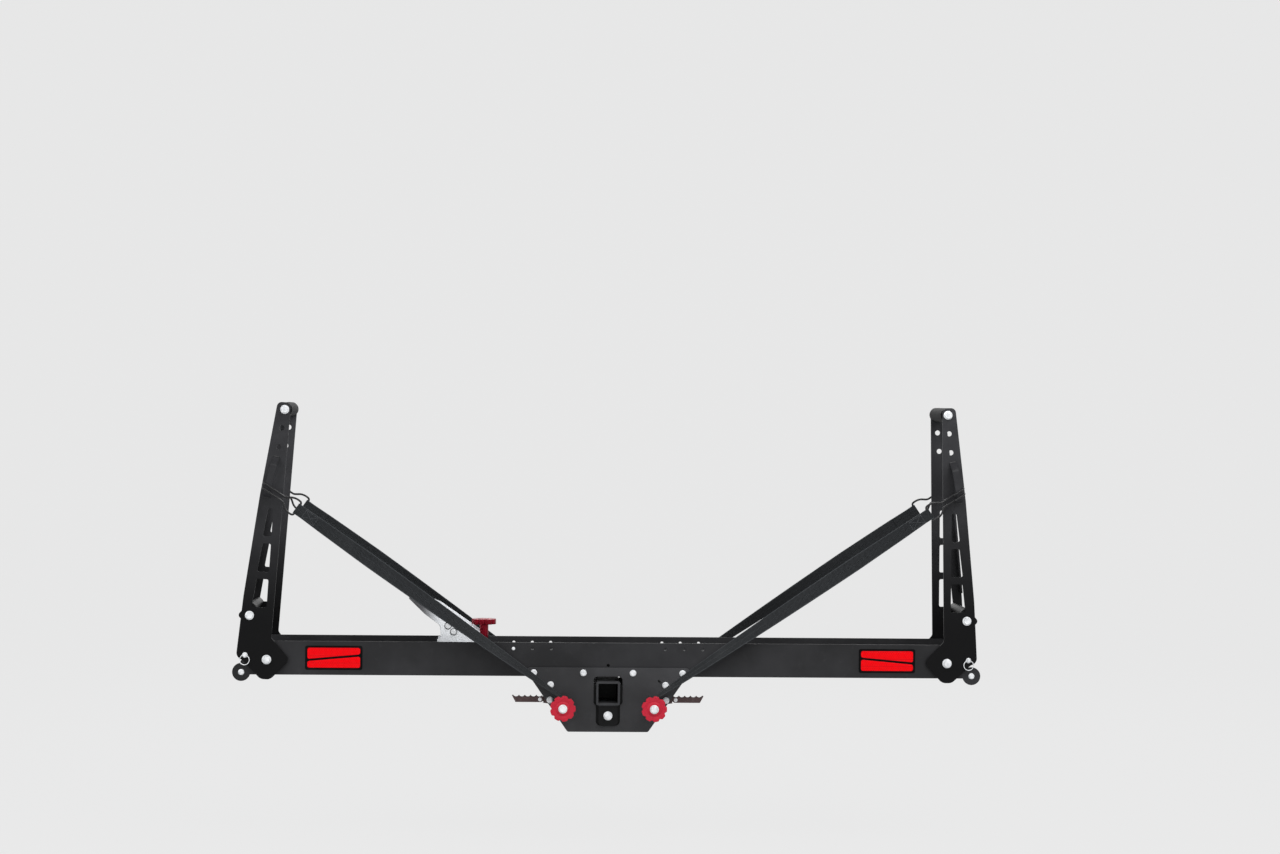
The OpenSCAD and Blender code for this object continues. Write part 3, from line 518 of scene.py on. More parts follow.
@dataclass(frozen=True)
class BareAluminium:
    """Bare bent sheet: rolled grain along X, fine scratches, and wings darkened by painted shade."""

    name: str
    body: RGB = linear(250, 252, 254)
    dull: RGB = linear(228, 231, 235)
    # Painted shade on the wings: its colour, and the span in X over which it sets in.
    dark: RGB = linear(80, 79, 82)
    wing_shade_span: tuple[float, float] = (0.445, 0.505)

    def make(self) -> bpy.types.Material:
        """Builds the material and returns it."""
        g = Graph(self.name)
        soft, _ = g.edge(0.0008)
        grain = g.noise(g.stretch((30.0, 900.0, 900.0)), 1.0, 3.0)
        cloud = g.noise(g.place(), 16.0, 5.0)
        scratch = g.noise(g.stretch((60.0, 60.0, 2600.0), turn=(0.0, 0.5, 0.0)), 1.0, 2.0).ramp(0.68, 0.74)
        shade = grain * 0.45 + cloud.ramp(0.4, 0.75) * 0.5
        # Painted shade: the wings past the span in X turn dark.
        wear_and_painted_light = (g.axes()[0] * -1.0).ramp(*self.wing_shade_span) * (0.75 + cloud * 0.4)
        g.set(
            Base_Color=g.mix(wear_and_painted_light, g.mix(shade, self.body, self.dull), self.dark),
            Roughness=0.36 + grain * 0.14 + cloud * 0.1 - scratch * 0.08,
            Normal=g.bump(grain + scratch * 0.5, 0.00008, 0.5, soft),
            Metallic=0.45,
        )
        return g.material


@dataclass(frozen=True)
class BlackMoulding:
    """Black moulded plastic or rubber with a fine matt grain."""

    name: str
    body: RGB = linear(30, 30, 31)
    rough: float = 0.55
    shine: float = 0.16

    def make(self) -> bpy.types.Material:
        """Builds the material and returns it."""
        g = Graph(self.name)
        where = g.place()
        soft, rim = g.edge(0.0008)
        grain = g.noise(where, 750.0, 3.0)
        bloom = g.noise(where, 20.0, 4.0)
        pale = shaded(self.body, 1.8, 0.006)
        g.set(
            Base_Color=g.mix(bloom.ramp(0.4, 0.8) * 0.7 + rim * 0.25, self.body, pale),
            Roughness=self.rough + grain * 0.16,
            Normal=g.bump(grain, 0.00016, 0.5, soft),
            Specular_IOR_Level=self.shine,
        )
        return g.material


@dataclass(frozen=True)
class WeldBead:
    """Painted-over weld: rippled and a little glossier than the plates."""

    name: str
    body: RGB = linear(26, 26, 28)

    def make(self) -> bpy.types.Material:
        """Builds the material and returns it."""
        g = Graph(self.name)
        ripple = g.noise(g.place(), 380.0, 3.0)
        g.set(
            Base_Color=g.mix(ripple, shaded(self.body, 0.7), shaded(self.body, 1.6)),
            Roughness=0.34 + ripple * 0.14,
            Normal=g.bump(ripple, 0.0003, 0.7),
        )
        return g.material


@dataclass(frozen=True)
class PaleFloor:
    """Pale floor and backdrop: seen straight on or in a reflection it keeps one even tone."""

    name: str
    body: RGB = linear(206, 207, 208)
    tone: RGB = linear(234, 234, 234)
    even: float = 0.95

    def make(self) -> bpy.types.Material:
        """Builds the material and returns it."""
        g = Graph(self.name)
        cloud = g.noise(g.place(), 1.4, 4.0)
        g.set(
            Base_Color=g.mix(cloud * 0.3, self.body, shaded(self.body, 0.97)),
            Roughness=0.85,
            Specular_IOR_Level=0.05,
        )
        path = g.tree.nodes.new("ShaderNodeLightPath")
        seen = Field(g, path.outputs["Is Camera Ray"]) + Field(g, path.outputs["Is Glossy Ray"])
        seen = (seen + Field(g, path.outputs["Is Transmission Ray"])).above(0.5) * self.even
        plain = g.node("ShaderNodeEmission", {}, {"Color": self.tone, "Strength": 1.0})
        both = g.node("ShaderNodeMixShader", {}, {0: seen, 1: Field(g, g.shader.outputs[0]), 2: plain})
        g.tree.links.new(both.socket, g.tree.nodes["Material Output"].inputs["Surface"])
        return g.material


@dataclass
class Finishes:
    """All finishes of the carrier, each made once."""

    made: dict[str, bpy.types.Material] = field(default_factory=dict)

    def __post_init__(self) -> None:
        """Makes every finish."""
        kinds = (
            PowderCoat("tray_coat", linear(27, 27, 29), rough=0.52, shine=0.26),
            PowderCoat("plate_coat", linear(42, 42, 44), rough=0.46),
            # Arms: painted shade, darker towards the bottom.
            PowderCoat(
                "arm_coat",
                linear(50, 50, 52),
                rough=0.42,
                grain=640.0,
                shine=0.13,
                foot=linear(6, 6, 7),
                painted_shade_at=(0.16, 0.7),
            ),
            # Near black coat for bars and other steel parts; its darkness also serves as painted shade on
            # the receiver carriers recessed behind the plates.
            PowderCoat("bar_coat", linear(12, 12, 13), rough=0.42, shine=0.16),
            PowderCoat("loop_coat", linear(46, 46, 48), rough=0.42, shine=0.14),
            # Receiver tube: painted shade, near black on the tab below the tube.
            PowderCoat("receiver_coat", linear(56, 56, 58), rough=0.5, shine=0.16, foot=linear(9, 9, 10)),
            ZincPlate("zinc"),
            DullSteel("tread_steel"),
            WovenWebbing("webbing"),
            SewingThread("thread"),
            MouldedRed("winder_red"),
            MouldedRed("clamp_red", linear(132, 7, 31), linear(92, 2, 18), rough=0.2, metal=0.75),
            ReflectorLens("lens"),
            BareAluminium("aluminium"),
            BlackMoulding("sleeve", body=linear(12, 12, 13), rough=0.68),
            BlackMoulding("moulding", body=linear(5, 5, 6), shine=0.06),
            PowderCoat("hook_coat", linear(18, 18, 20), rough=0.34, grain=900.0, edge_wear_and_highlight=0.1),
            WeldBead("weld"),
        )
        for kind in kinds:
            self.made[kind.name] = kind.make()

    def put(self, piece: bpy.types.Object, name: str) -> None:
        """Gives a piece or a node the named finish all over."""
        piece.data.materials.clear()
        piece.data.materials.append(self.made[name])


# Modelling


class Bench:
    """Modelling steps shared by the pieces: each starts from a primitive and ends at the origin."""

    @staticmethod
    def clear() -> None:
        """Leaves edit mode and selects nothing."""
        if bpy.context.object is not None and bpy.context.object.mode != "OBJECT":
            bpy.ops.object.mode_set(mode="OBJECT")
        bpy.ops.object.select_all(action="DESELECT")

    @staticmethod
    def current(name: str) -> bpy.types.Object:
        """Names the object that was just added and returns it."""
        piece = bpy.context.object
        piece.name = name
        piece.data.name = name
        return piece

    @staticmethod
    def settle(piece: bpy.types.Object, angle: float = 35.0) -> bpy.types.Object:
        """Applies place and modifiers, turns faces outwards and smooths shallow edges.

        Args:
            piece: Object to finish.
            angle: Edges flatter than this, in degrees, are smoothed.

        Returns:
            The same object.
        """
        Bench.clear()
        bpy.context.view_layer.objects.active = piece
        piece.select_set(True)
        bpy.ops.object.transform_apply(location=True, rotation=True, scale=True)
        for modifier in list(piece.modifiers):
            bpy.ops.object.modifier_apply(modifier=modifier.name)
        bpy.ops.object.mode_set(mode="EDIT")
        bpy.ops.mesh.select_all(action="SELECT")
        bpy.ops.mesh.remove_doubles(threshold=1e-6)
        bpy.ops.mesh.normals_make_consistent(inside=False)
        bpy.ops.object.mode_set(mode="OBJECT")
        bpy.ops.object.shade_smooth_by_angle(angle=math.radians(angle))
        Bench.clear()
        return piece

    @staticmethod
    def pick(piece: bpy.types.Object, kind: str, test: Callable[[Any], bool]) -> None:
        """Enters edit mode with only those faces or edges selected that pass a test.

        Args:
            piece: Object that is edited.
            kind: FACE or EDGE.
            test: Says whether a face or an edge is selected.
        """
        bpy.ops.object.mode_set(mode="EDIT")
        bpy.ops.mesh.select_mode(type=kind)
        bpy.ops.mesh.select_all(action="DESELECT")
        bpy.ops.object.mode_set(mode="OBJECT")
        for item in piece.data.polygons if kind == "FACE" else piece.data.edges:
            item.select = test(item)
        bpy.ops.object.mode_set(mode="EDIT")

    @staticmethod
    def bevel(piece: bpy.types.Object, width: float, segments: int, angle: float) -> None:
        """Rounds the sharp edges of a piece, once it is settled.

        Args:
            piece: Object that is rounded.
            width: Width of the rounding.
            segments: Faces across the rounding.
            angle: Edges sharper than this, in degrees, are rounded.
        """
        lip = piece.modifiers.new("lip", "BEVEL")
        lip.width = width
        lip.segments = segments
        lip.limit_method = "ANGLE"
        lip.angle_limit = math.radians(angle)

    @staticmethod
    def band(
        name: str,
        centres: Sequence[Vector],
        sides: Sequence[Vector],
        widths: Sequence[float],
        thick: float,
        cells: int,
    ) -> bpy.types.Object:
        """Lays a flat band along a route: webbing or a bent flat bar.

        Args:
            name: Name of the piece.
            centres: Points along the route.
            sides: Unit vector across the band at each point.
            widths: Width of the band at each point.
            thick: Thickness of the band.
            cells: Faces across the band.

        Returns:
            The finished band, mapped along its length in widths.
        """
        count = len(centres) - 1
        runs = [0.0]
        for a, b in zip(centres, centres[1:]):
            runs.append(runs[-1] + (b - a).length)
        Bench.clear()
        bpy.ops.mesh.primitive_grid_add(x_subdivisions=count, y_subdivisions=cells, size=1.0, calc_uvs=True)
        piece = Bench.current(name)
        mesh = piece.data
        steps = [round((vertex.co.x + 0.5) * count) for vertex in mesh.vertices]
        spots = [vertex.co.y for vertex in mesh.vertices]
        layer = mesh.uv_layers.active.data
        for loop in mesh.loops:
            step = steps[loop.vertex_index]
            layer[loop.index].uv = (runs[step] / max(widths), spots[loop.vertex_index] + 0.5)
        for vertex, step, spot in zip(mesh.vertices, steps, spots):
            vertex.co = centres[step] + sides[step] * (spot * widths[step])
        skin = piece.modifiers.new("thickness", "SOLIDIFY")
        skin.thickness = thick
        skin.offset = 0.0
        skin.use_even_offset = False
        return Bench.settle(piece, angle=50.0)

    @staticmethod
    def wire(
        name: str, points: Sequence[Vector], radius: float, sides: int, radii: Sequence[float] | None = None
    ) -> bpy.types.Object:
        """Bends a round wire along a route.

        Args:
            name: Name of the piece.
            points: Points along the wire's middle.
            radius: Radius of the wire.
            sides: Bevel resolution; a ring has twice this and four more sides.
            radii: Share of the radius at each point, where it changes.

        Returns:
            The wire as a mesh with closed ends.
        """
        Bench.clear()
        bpy.ops.curve.primitive_nurbs_path_add()
        piece = Bench.current(name)
        curve = piece.data
        curve.splines.clear()
        spline = curve.splines.new("POLY")
        spline.points.add(len(points) - 1)
        for index, (slot, point) in enumerate(zip(spline.points, points)):
            slot.co = (*point, 1.0)
            slot.radius = 1.0 if radii is None else radii[index]
        curve.dimensions = "3D"
        curve.bevel_depth = radius
        curve.bevel_resolution = sides
        curve.use_fill_caps = True
        piece.select_set(True)
        bpy.ops.object.convert(target="MESH")
        return Bench.settle(Bench.current(name), angle=40.0)

    @staticmethod
    def join(pieces: Sequence[bpy.types.Object], name: str) -> bpy.types.Object:
        """Joins pieces into the first one.

        Args:
            pieces: Objects to join.
            name: Name of the result.

        Returns:
            The joined object.
        """
        Bench.clear()
        for piece in pieces:
            piece.select_set(True)
        bpy.context.view_layer.objects.active = pieces[0]
        bpy.ops.object.join()
        result = Bench.current(name)
        Bench.clear()
        return result


def turned(point: tuple[float, float], degrees: float) -> tuple[float, float]:
    """Turns a point of a plane about zero, from the first axis to the second."""
    c, s = math.cos(math.radians(degrees)), math.sin(math.radians(degrees))
    return (point[0] * c - point[1] * s, point[0] * s + point[1] * c)


def smooth(points: Sequence[tuple[float, float]], steps: int) -> list[tuple[float, float]]:
    """Draws a soft curve through the points of a plane.

    Args:
        points: Points that the curve passes.
        steps: Steps between two points.

    Returns:
        Points along the curve, from the first point to the last.
    """
    curve: list[tuple[float, float]] = []
    for index in range(len(points) - 1):
        a, b = points[max(index - 1, 0)], points[index]
        c, d = points[index + 1], points[min(index + 2, len(points) - 1)]
        for step in range(steps):
            t = step / steps
            spot = []
            for p, q, r, s in zip(a, b, c, d):
                bend, turn = 2 * p - 5 * q + 4 * r - s, 3 * q - p - 3 * r + s
                spot.append(0.5 * (2 * q + (r - p) * t + bend * t**2 + turn * t**3))
            curve.append(tuple(spot))
    return curve + [points[-1]]


def arc(degrees: float, steps: int) -> list[float]:
    """Angles in radians from zero to an angle in degrees, in even steps."""
    return [math.radians(degrees * step / steps) for step in range(steps + 1)]


@dataclass(frozen=True)
class ArmPlan:
    """What several pieces share of a wheel arm, in millimetres: its pivot, its face and its strap loop."""

    pivot: tuple[float, float] = (911.0, 85.0)
    face: float = 109.7
    loop_foot: tuple[float, float] = (15.0, 541.0)
    loop_way: tuple[float, float] = (0.159232, -0.987239)

    def leaned(self, out: float, up: float, lean: float) -> tuple[float, float]:
        """Point in X and Z, given from the pivot with the arm upright, once the arm leans inwards."""
        x, z = turned((out, up), lean)
        return (self.pivot[0] + x, self.pivot[1] + z)

    def on_loop(self, run: float, side: float, lean: float) -> tuple[float, float]:
        """Point in X and Z at a distance down a strap loop and across it.

        Args:
            run: Distance from the upper foot of the loop.
            side: Distance across the loop.
            lean: Inward lean of the arm in degrees.

        Returns:
            The point in X and Z.
        """
        (x, z), (along, up) = self.loop_foot, self.loop_way
        return self.leaned(x + along * run - up * side, z + up * run + along * side, lean)


ARM = ArmPlan()


@dataclass
class Place:
    """One corner of the carrier: an end and a face, with sizes in millimetres about the tray's middle."""

    end: End
    face: Face
    tray_back: float = -400.0

    def spot(self, x: float, out: float, z: float) -> Vector:
        """Point in metres: along the tray, out from its middle plane, and up from the hitch pin hole."""
        return Vector((self.end.sign * x, self.face.sign * out + self.tray_back, z)) * MM

    def way(self, x: float, out: float, z: float) -> Vector:
        """Unit vector with the given shares along, outwards and up."""
        return Vector((self.end.sign * x, self.face.sign * out, z)).normalized()

    @property
    def tag(self) -> str:
        """Start of the names of pieces at this corner."""
        return f"{self.end.value}_{self.face.value}"


@dataclass
class StrapRun:
    """Route of one strap: round its coil, up to the arm with a quarter turn, and through the hook's bar.

    Runs along the sewn end are counted from the hook's bar, back to the coil where they are negative.
    """

    place: Place
    lean: float
    coil_in: float = 13.0
    coil_out_y: float = 118.0
    pitch: float = 2.1
    turns: float = 2.5
    turn_steps: int = 48
    coil_gap: float = 0.6
    hold: float = 130.0
    hold_steps: int = 40
    run_steps: int = 96
    twist_power: float = 0.75
    web: float = 1.6
    lift: float = 0.25
    width: float = 38.0
    sewn_width: float = 33.0
    taper: float = 0.2
    narrow: float = 30.0
    cells: int = 6
    sewn: float = 75.0
    eye_gap: float = 0.35
    upper_rows: tuple[tuple[float, float], ...] = (
        (-60.0, 32.0), (-40.0, 31.0), (-24.0, 30.0), (-16.0, 30.0),
    )
    tail_rows: tuple[tuple[float, float], ...] = (
        (-16.0, 30.0), (-24.0, 30.0), (-40.0, 31.0), (-56.0, 32.0), (-68.0, 32.5),
    )
    seat_at: tuple[float, float] = (36.514, 461.0)
    prong: float = 6.5
    tip: float = 26.0
    hook_out: float = 132.75
    tip_out: float = 145.45
    hook_len: float = 104.0
    play: float = 0.2
    wire: float = 5.5
    ring: tuple[tuple[float, float], ...] = (
        (60.0, 6.5), (47.0, 6.5), (41.0, 8.5), (35.0, 12.5),
        (28.0, 17.4), (20.0, 20.4), (12.0, 21.4), (7.0, 21.3),
    )
    corner_run: float = 7.0
    corner_in: float = 15.0
    corner_rise: float = 6.3
    sewn_box: tuple[float, float, float] = (-60.0, -22.0, 11.5)
    stitch: float = 3.2
    stitch_rows: tuple[tuple[float, float], ...] = ((0.15, -0.2), (0.36, 0.25), (0.64, 0.25), (0.85, -0.2))
    thread: float = 0.45

    @property
    def wrap(self) -> float:
        """Radius of the free strap's middle where it lies on the coil."""
        return self.coil_in + self.turns * self.pitch + self.web + self.coil_gap

    @property
    def middle(self) -> float:
        """Distance of the coil's middle out from the tray's middle."""
        return self.coil_out_y + self.width / 2

    @property
    def seat(self) -> tuple[float, float]:
        """Where the hook pulls on the arm's loop."""
        return ARM.leaned(*self.seat_at, self.lean)

    @property
    def leave(self) -> float:
        """Angle on the coil, in degrees, where the strap leaves it."""
        x, z = self.seat[0] - SPOOL[0], self.seat[1] - SPOOL[1]
        return math.degrees(math.atan2(z, x) + math.acos(self.wrap / math.hypot(x, z)))

    @property
    def start(self) -> tuple[float, float]:
        """Where the strap leaves the coil."""
        x, z = turned((self.wrap, 0.0), self.leave)
        return (SPOOL[0] + x, SPOOL[1] + z)

    @property
    def pull(self) -> tuple[float, float]:
        """Direction of the taut strap."""
        return turned((1.0, 0.0), self.leave - 90.0)

    @property
    def bar(self) -> tuple[float, float]:
        """Middle of the hook's strap bar."""
        reach = self.hook_len + self.play
        return (self.seat[0] - self.pull[0] * reach, self.seat[1] - self.pull[1] * reach)

    def on_coil(self, radius: float, degrees: float) -> Vector:
        """Point in metres in the coil's middle plane, at a radius and an angle."""
        x, z = turned((radius, 0.0), degrees)
        return self.place.spot(SPOOL[0] + x, self.middle, SPOOL[1] + z)

    def along(self, base: tuple[float, float], run: float, out: float, rise: float = 0.0) -> Vector:
        """Point in metres: along the pull from a base point, out from the tray, and square to the pull."""
        d = self.pull
        return self.place.spot(base[0] + d[0] * run - d[1] * rise, out, base[1] + d[1] * run + d[0] * rise)

    def band(self) -> bpy.types.Object:
        """Builds the free strap with its sewn eye and returns it."""
        d, start, bar = self.pull, self.start, self.bar
        upright, flat = self.place.way(0.0, 1.0, 0.0), self.place.way(d[1], 0.0, -d[0])
        lay = self.web / 2 + self.lift
        eye = self.wire / 2 + self.eye_gap + self.web / 2
        rows: list[tuple[Vector, Vector, float]] = []
        for step in range(self.hold_steps):
            angle = self.leave + self.hold * (1.0 - step / self.hold_steps)
            rows.append((self.on_coil(self.wrap, angle), upright, self.width))
        length = math.dist(bar, start) - self.sewn
        for step in range(self.run_steps + 1):
            share = step / self.run_steps
            twist = math.radians(90.0 * share**self.twist_power)
            out = self.middle + (self.hook_out + lay - self.middle) * share
            side = self.place.way(d[1] * math.sin(twist), math.cos(twist), -d[0] * math.sin(twist))
            slimmer = (self.width - self.sewn_width) * max(0.0, share - 1.0 + self.taper) / self.taper
            rows.append((self.along(start, share * length, out), side, self.width - slimmer))
        for run, width in self.upper_rows:
            rows.append((self.along(bar, run, self.hook_out + lay), flat, width))
        for angle in arc(180.0, 12):
            spot = self.along(bar, eye * math.sin(angle), self.hook_out + eye * math.cos(angle))
            rows.append((spot, flat, self.narrow))
        for run, width in self.tail_rows:
            rows.append((self.along(bar, run, self.hook_out - lay), flat, width))
        centres, sides, widths = zip(*rows)
        name = f"{self.place.tag}_webbing"
        return Bench.band(name, centres, sides, [width * MM for width in widths], self.web * MM, self.cells)

    def stitches(self) -> bpy.types.Object:
        """Sews the eye shut with a box and a cross of short stitches and returns them."""
        near, far, half = self.sewn_box
        a, b, c, d = (near, -half), (far, -half), (far, half), (near, half)
        out = self.hook_out + self.web + self.lift
        threads: list[bpy.types.Object] = []
        for first, last in ((a, b), (b, c), (c, d), (d, a), (a, c), (b, d)):
            count = max(4, int(math.dist(first, last) / self.stitch))
            for index in range(count):
                points = []
                for share, rise in self.stitch_rows:
                    t = (index + share) / count
                    run, side = (p + (q - p) * t for p, q in zip(first, last))
                    points.append(self.along(self.bar, run, out + rise, side))
                name = f"{self.place.tag}_stitch_{len(threads)}"
                threads.append(Bench.wire(name, points, self.thread * MM, sides=0))
        return Bench.join(threads, f"{self.place.tag}_stitches")

    def coil(self) -> bpy.types.Object:
        """Winds the coil on the drum and returns it."""
        shares = [step / self.turn_steps for step in range(int(self.turns * self.turn_steps) + 1)]
        centres = [self.on_coil(self.coil_in + share * self.pitch, share * 360.0) for share in shares]
        count = len(centres)
        sides = [self.place.way(0.0, 1.0, 0.0)] * count
        name = f"{self.place.tag}_coil"
        return Bench.band(name, centres, sides, [self.width * MM] * count, self.web * MM, self.cells)

    def hook(self) -> bpy.types.Object:
        """Bends the double wire hook and returns it."""
        points = self._hook_half(1.0) + self._hook_half(-1.0)[::-1]
        return Bench.wire(f"{self.place.tag}_hook", points, self.wire / 2 * MM, sides=4)

    def _hook_half(self, side: float) -> list[Vector]:
        """Points of one half of the hook, from its tip to the strap bar.

        Args:
            side: One for the upper half, minus one for the lower half.

        Returns:
            Points of the wire's middle.
        """
        d = self.pull
        loop = turned(ARM.loop_way, self.lean)
        spread = self.prong * side
        shift = spread * (loop[0] * d[0] + loop[1] * d[1]) / (loop[1] * d[0] - loop[0] * d[1])
        base = (self.seat[0] - d[0] * self.play, self.seat[1] - d[1] * self.play)
        bend = (self.tip_out - self.hook_out) / 2
        middle = (self.tip_out + self.hook_out) / 2
        points = [self.along(base, shift - self.tip, self.tip_out, spread)]
        for angle in arc(180.0, 12):
            run, out = shift + bend * math.sin(angle), middle + bend * math.cos(angle)
            points.append(self.along(base, run, out, spread))
        for run, rise in smooth(self.ring, 4)[:-1]:
            points.append(self.along(base, run - self.hook_len, self.hook_out, rise * side))
        for angle in arc(90.0, 8):
            run = self.corner_run * (1.0 - math.sin(angle)) - self.hook_len
            rise = self.corner_in + self.corner_rise * math.cos(angle)
            points.append(self.along(base, run, self.hook_out, side * rise))
        return points

    def dress(self, finishes: Finishes) -> None:
        """Builds the strap, its coil, stitches and hook, and ties the coil, stitches and hook to their
        bodies.

        Args:
            finishes: Finishes of the carrier.
        """
        end = self.place.end.value
        arm, spool = f"{end}_arm", f"{end}_spool"
        band = self.band()
        finishes.put(band, "webbing")
        begin = self.on_coil(self.wrap, self.leave)
        finish = self.along(self.bar, -self.sewn, self.hook_out)
        tuple(begin)
        tuple(finish)
        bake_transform(band)
        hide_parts(f"{self.place.tag}_strap")
        stitches = self.stitches()
        finishes.put(stitches, "thread")
        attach(stitches, arm)
        coil = self.coil()
        finishes.put(coil, "webbing")
        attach(coil, spool)
        hook = self.hook()
        finishes.put(hook, "hook_coat")
        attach(hook, arm)
        if self.place.face is Face.REAR:
            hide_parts(f"{end}_coils")
            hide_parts(f"{end}_hooks")
        length = (finish - begin).length / MM + self.sewn
        LOG.info("strap %s: %.0f mm from the coil to the hook", self.place.tag, length)


@dataclass
class HandWheel:
    """Scalloped hand wheel turned up from a disc: rounded lobes, a dished face and a hub."""

    name: str
    node: str
    body: str
    centre: Vector
    axis: Vector
    diameter: float
    finish: str
    thick: float = 0.014
    lobes: int = 9
    lobe_sides: int = 18
    lobed: float = 0.96
    scoop: float = 0.121
    scoop_power: float = 1.4
    rim: float = 0.17
    slope: float = 0.002
    dish: float = 0.0009
    hub: float = 0.016
    hub_slope: float = 0.0012
    hub_rise: float = 0.001

    def build(self) -> bpy.types.Object:
        """Builds the wheel with its face towards the axis and returns it."""
        outer = self.diameter / 2
        edge = self.diameter * self.rim
        Bench.clear()
        bpy.ops.mesh.primitive_cylinder_add(
            vertices=self.lobes * self.lobe_sides, radius=outer, depth=self.thick, end_fill_type="NGON"
        )
        piece = Bench.current(self.name)
        Bench.pick(piece, "FACE", lambda face: face.normal.z > 0.9)
        bpy.ops.mesh.inset(thickness=edge)
        bpy.ops.mesh.inset(thickness=self.slope)
        bpy.ops.transform.translate(value=(0, 0, -self.dish))
        bpy.ops.mesh.inset(thickness=max(0.001, outer - edge - 2 * self.slope - self.hub))
        bpy.ops.mesh.inset(thickness=self.hub_slope)
        bpy.ops.transform.translate(value=(0, 0, self.dish + self.hub_rise))
        bpy.ops.object.mode_set(mode="OBJECT")
        for vertex in piece.data.vertices:
            radius = math.hypot(vertex.co.x, vertex.co.y)
            if radius > outer * self.lobed:
                angle = math.atan2(vertex.co.y, vertex.co.x)
                depth = self.scoop * max(0.0, -math.cos(self.lobes * angle)) ** self.scoop_power
                share = (outer - outer * depth) / radius
                vertex.co.x *= share
                vertex.co.y *= share
        Bench.bevel(piece, width=self.thick * 0.2, segments=4, angle=50.0)
        turn = self.axis.to_track_quat("Z", "Y").to_matrix().to_4x4()
        piece.matrix_world = Matrix.Translation(self.centre) @ turn
        return Bench.settle(piece, angle=40.0)

    def dress(self, finishes: Finishes) -> None:
        """Builds the wheel and puts it in the place of its node.

        Args:
            finishes: Finishes of the carrier.
        """
        piece = self.build()
        finishes.put(piece, self.finish)
        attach(piece, self.body)
        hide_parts(self.node)
        LOG.info("hand wheel %s", self.name)


@dataclass
class ClampKnob:
    """Clamp knob of the chock: a hand wheel on a ribbed stem, and the screw down to the clamp plate."""

    centre: Vector
    diameter: float = 0.066
    stem_r: float = 0.012
    stem_low: float = 0.1063
    stem_sunk: float = 0.004
    stem_lip: float = 0.0012
    ribs: int = 16
    rib_sides: int = 6
    rib_depth: float = 0.035
    screw_r: float = 0.005
    screw_low: float = 0.0832
    screw_pitch: float = 0.0016
    screw_steps: int = 18
    core_share: float = 0.88
    thread_at: float = 0.86
    thread_share: float = 0.14
    overlap: float = 0.002

    def _turned(self, name: str, radius: float, low: float, high: float, sides: int) -> bpy.types.Object:
        """Adds one upright cylinder under the cap.

        Args:
            name: Name of the piece.
            radius: Radius of the cylinder.
            low: Height of its foot.
            high: Height of its top.
            sides: Number of sides.

        Returns:
            The cylinder, not yet settled.
        """
        Bench.clear()
        bpy.ops.mesh.primitive_cylinder_add(
            vertices=sides,
            radius=radius,
            depth=high - low,
            location=(self.centre.x, self.centre.y, (low + high) / 2),
        )
        return Bench.current(name)

    def stem(self) -> bpy.types.Object:
        """Builds the ribbed stem and returns it."""
        top = self.centre.z - self.stem_sunk
        piece = self._turned("clamp_stem", self.stem_r, self.stem_low, top, self.ribs * self.rib_sides)
        for vertex in piece.data.vertices:
            angle = math.atan2(vertex.co.y, vertex.co.x)
            share = 1.0 - self.rib_depth * max(0.0, math.cos(self.ribs * angle))
            vertex.co.x *= share
            vertex.co.y *= share
        Bench.bevel(piece, width=self.stem_lip, segments=3, angle=60.0)
        return Bench.settle(piece, angle=30.0)

    def screw(self) -> bpy.types.Object:
        """Builds the screw with its thread and returns it."""
        top = self.stem_low + self.overlap
        radius = self.screw_r * self.core_share
        core = Bench.settle(self._turned("clamp_core", radius, self.screw_low, top, 24))
        turns = (self.stem_low - self.screw_low - self.overlap) / self.screw_pitch
        points = []
        for step in range(int(turns * self.screw_steps) + 1):
            x, y = turned((self.screw_r * self.thread_at, 0.0), step * 360.0 / self.screw_steps)
            rise = self.screw_low + self.overlap / 2 + step / self.screw_steps * self.screw_pitch
            points.append(Vector((self.centre.x + x, self.centre.y + y, rise)))
        thread = Bench.wire("clamp_thread", points, self.screw_r * self.thread_share, sides=0)
        return Bench.join([core, thread], "clamp_screw")

    def dress(self, finishes: Finishes) -> None:
        """Builds the knob in the place of its node.

        Args:
            finishes: Finishes of the carrier.
        """
        HandWheel(
            name="clamp_cap",
            node="chock_knob",
            body="chock_knob",
            centre=self.centre,
            axis=Vector((0.0, 0.0, 1.0)),
            diameter=self.diameter,
            finish="clamp_red",
        ).dress(finishes)
        for piece, finish in ((self.stem(), "clamp_red"), (self.screw(), "zinc")):
            finishes.put(piece, finish)
            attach(piece, "chock_knob")
        LOG.info("clamp knob")


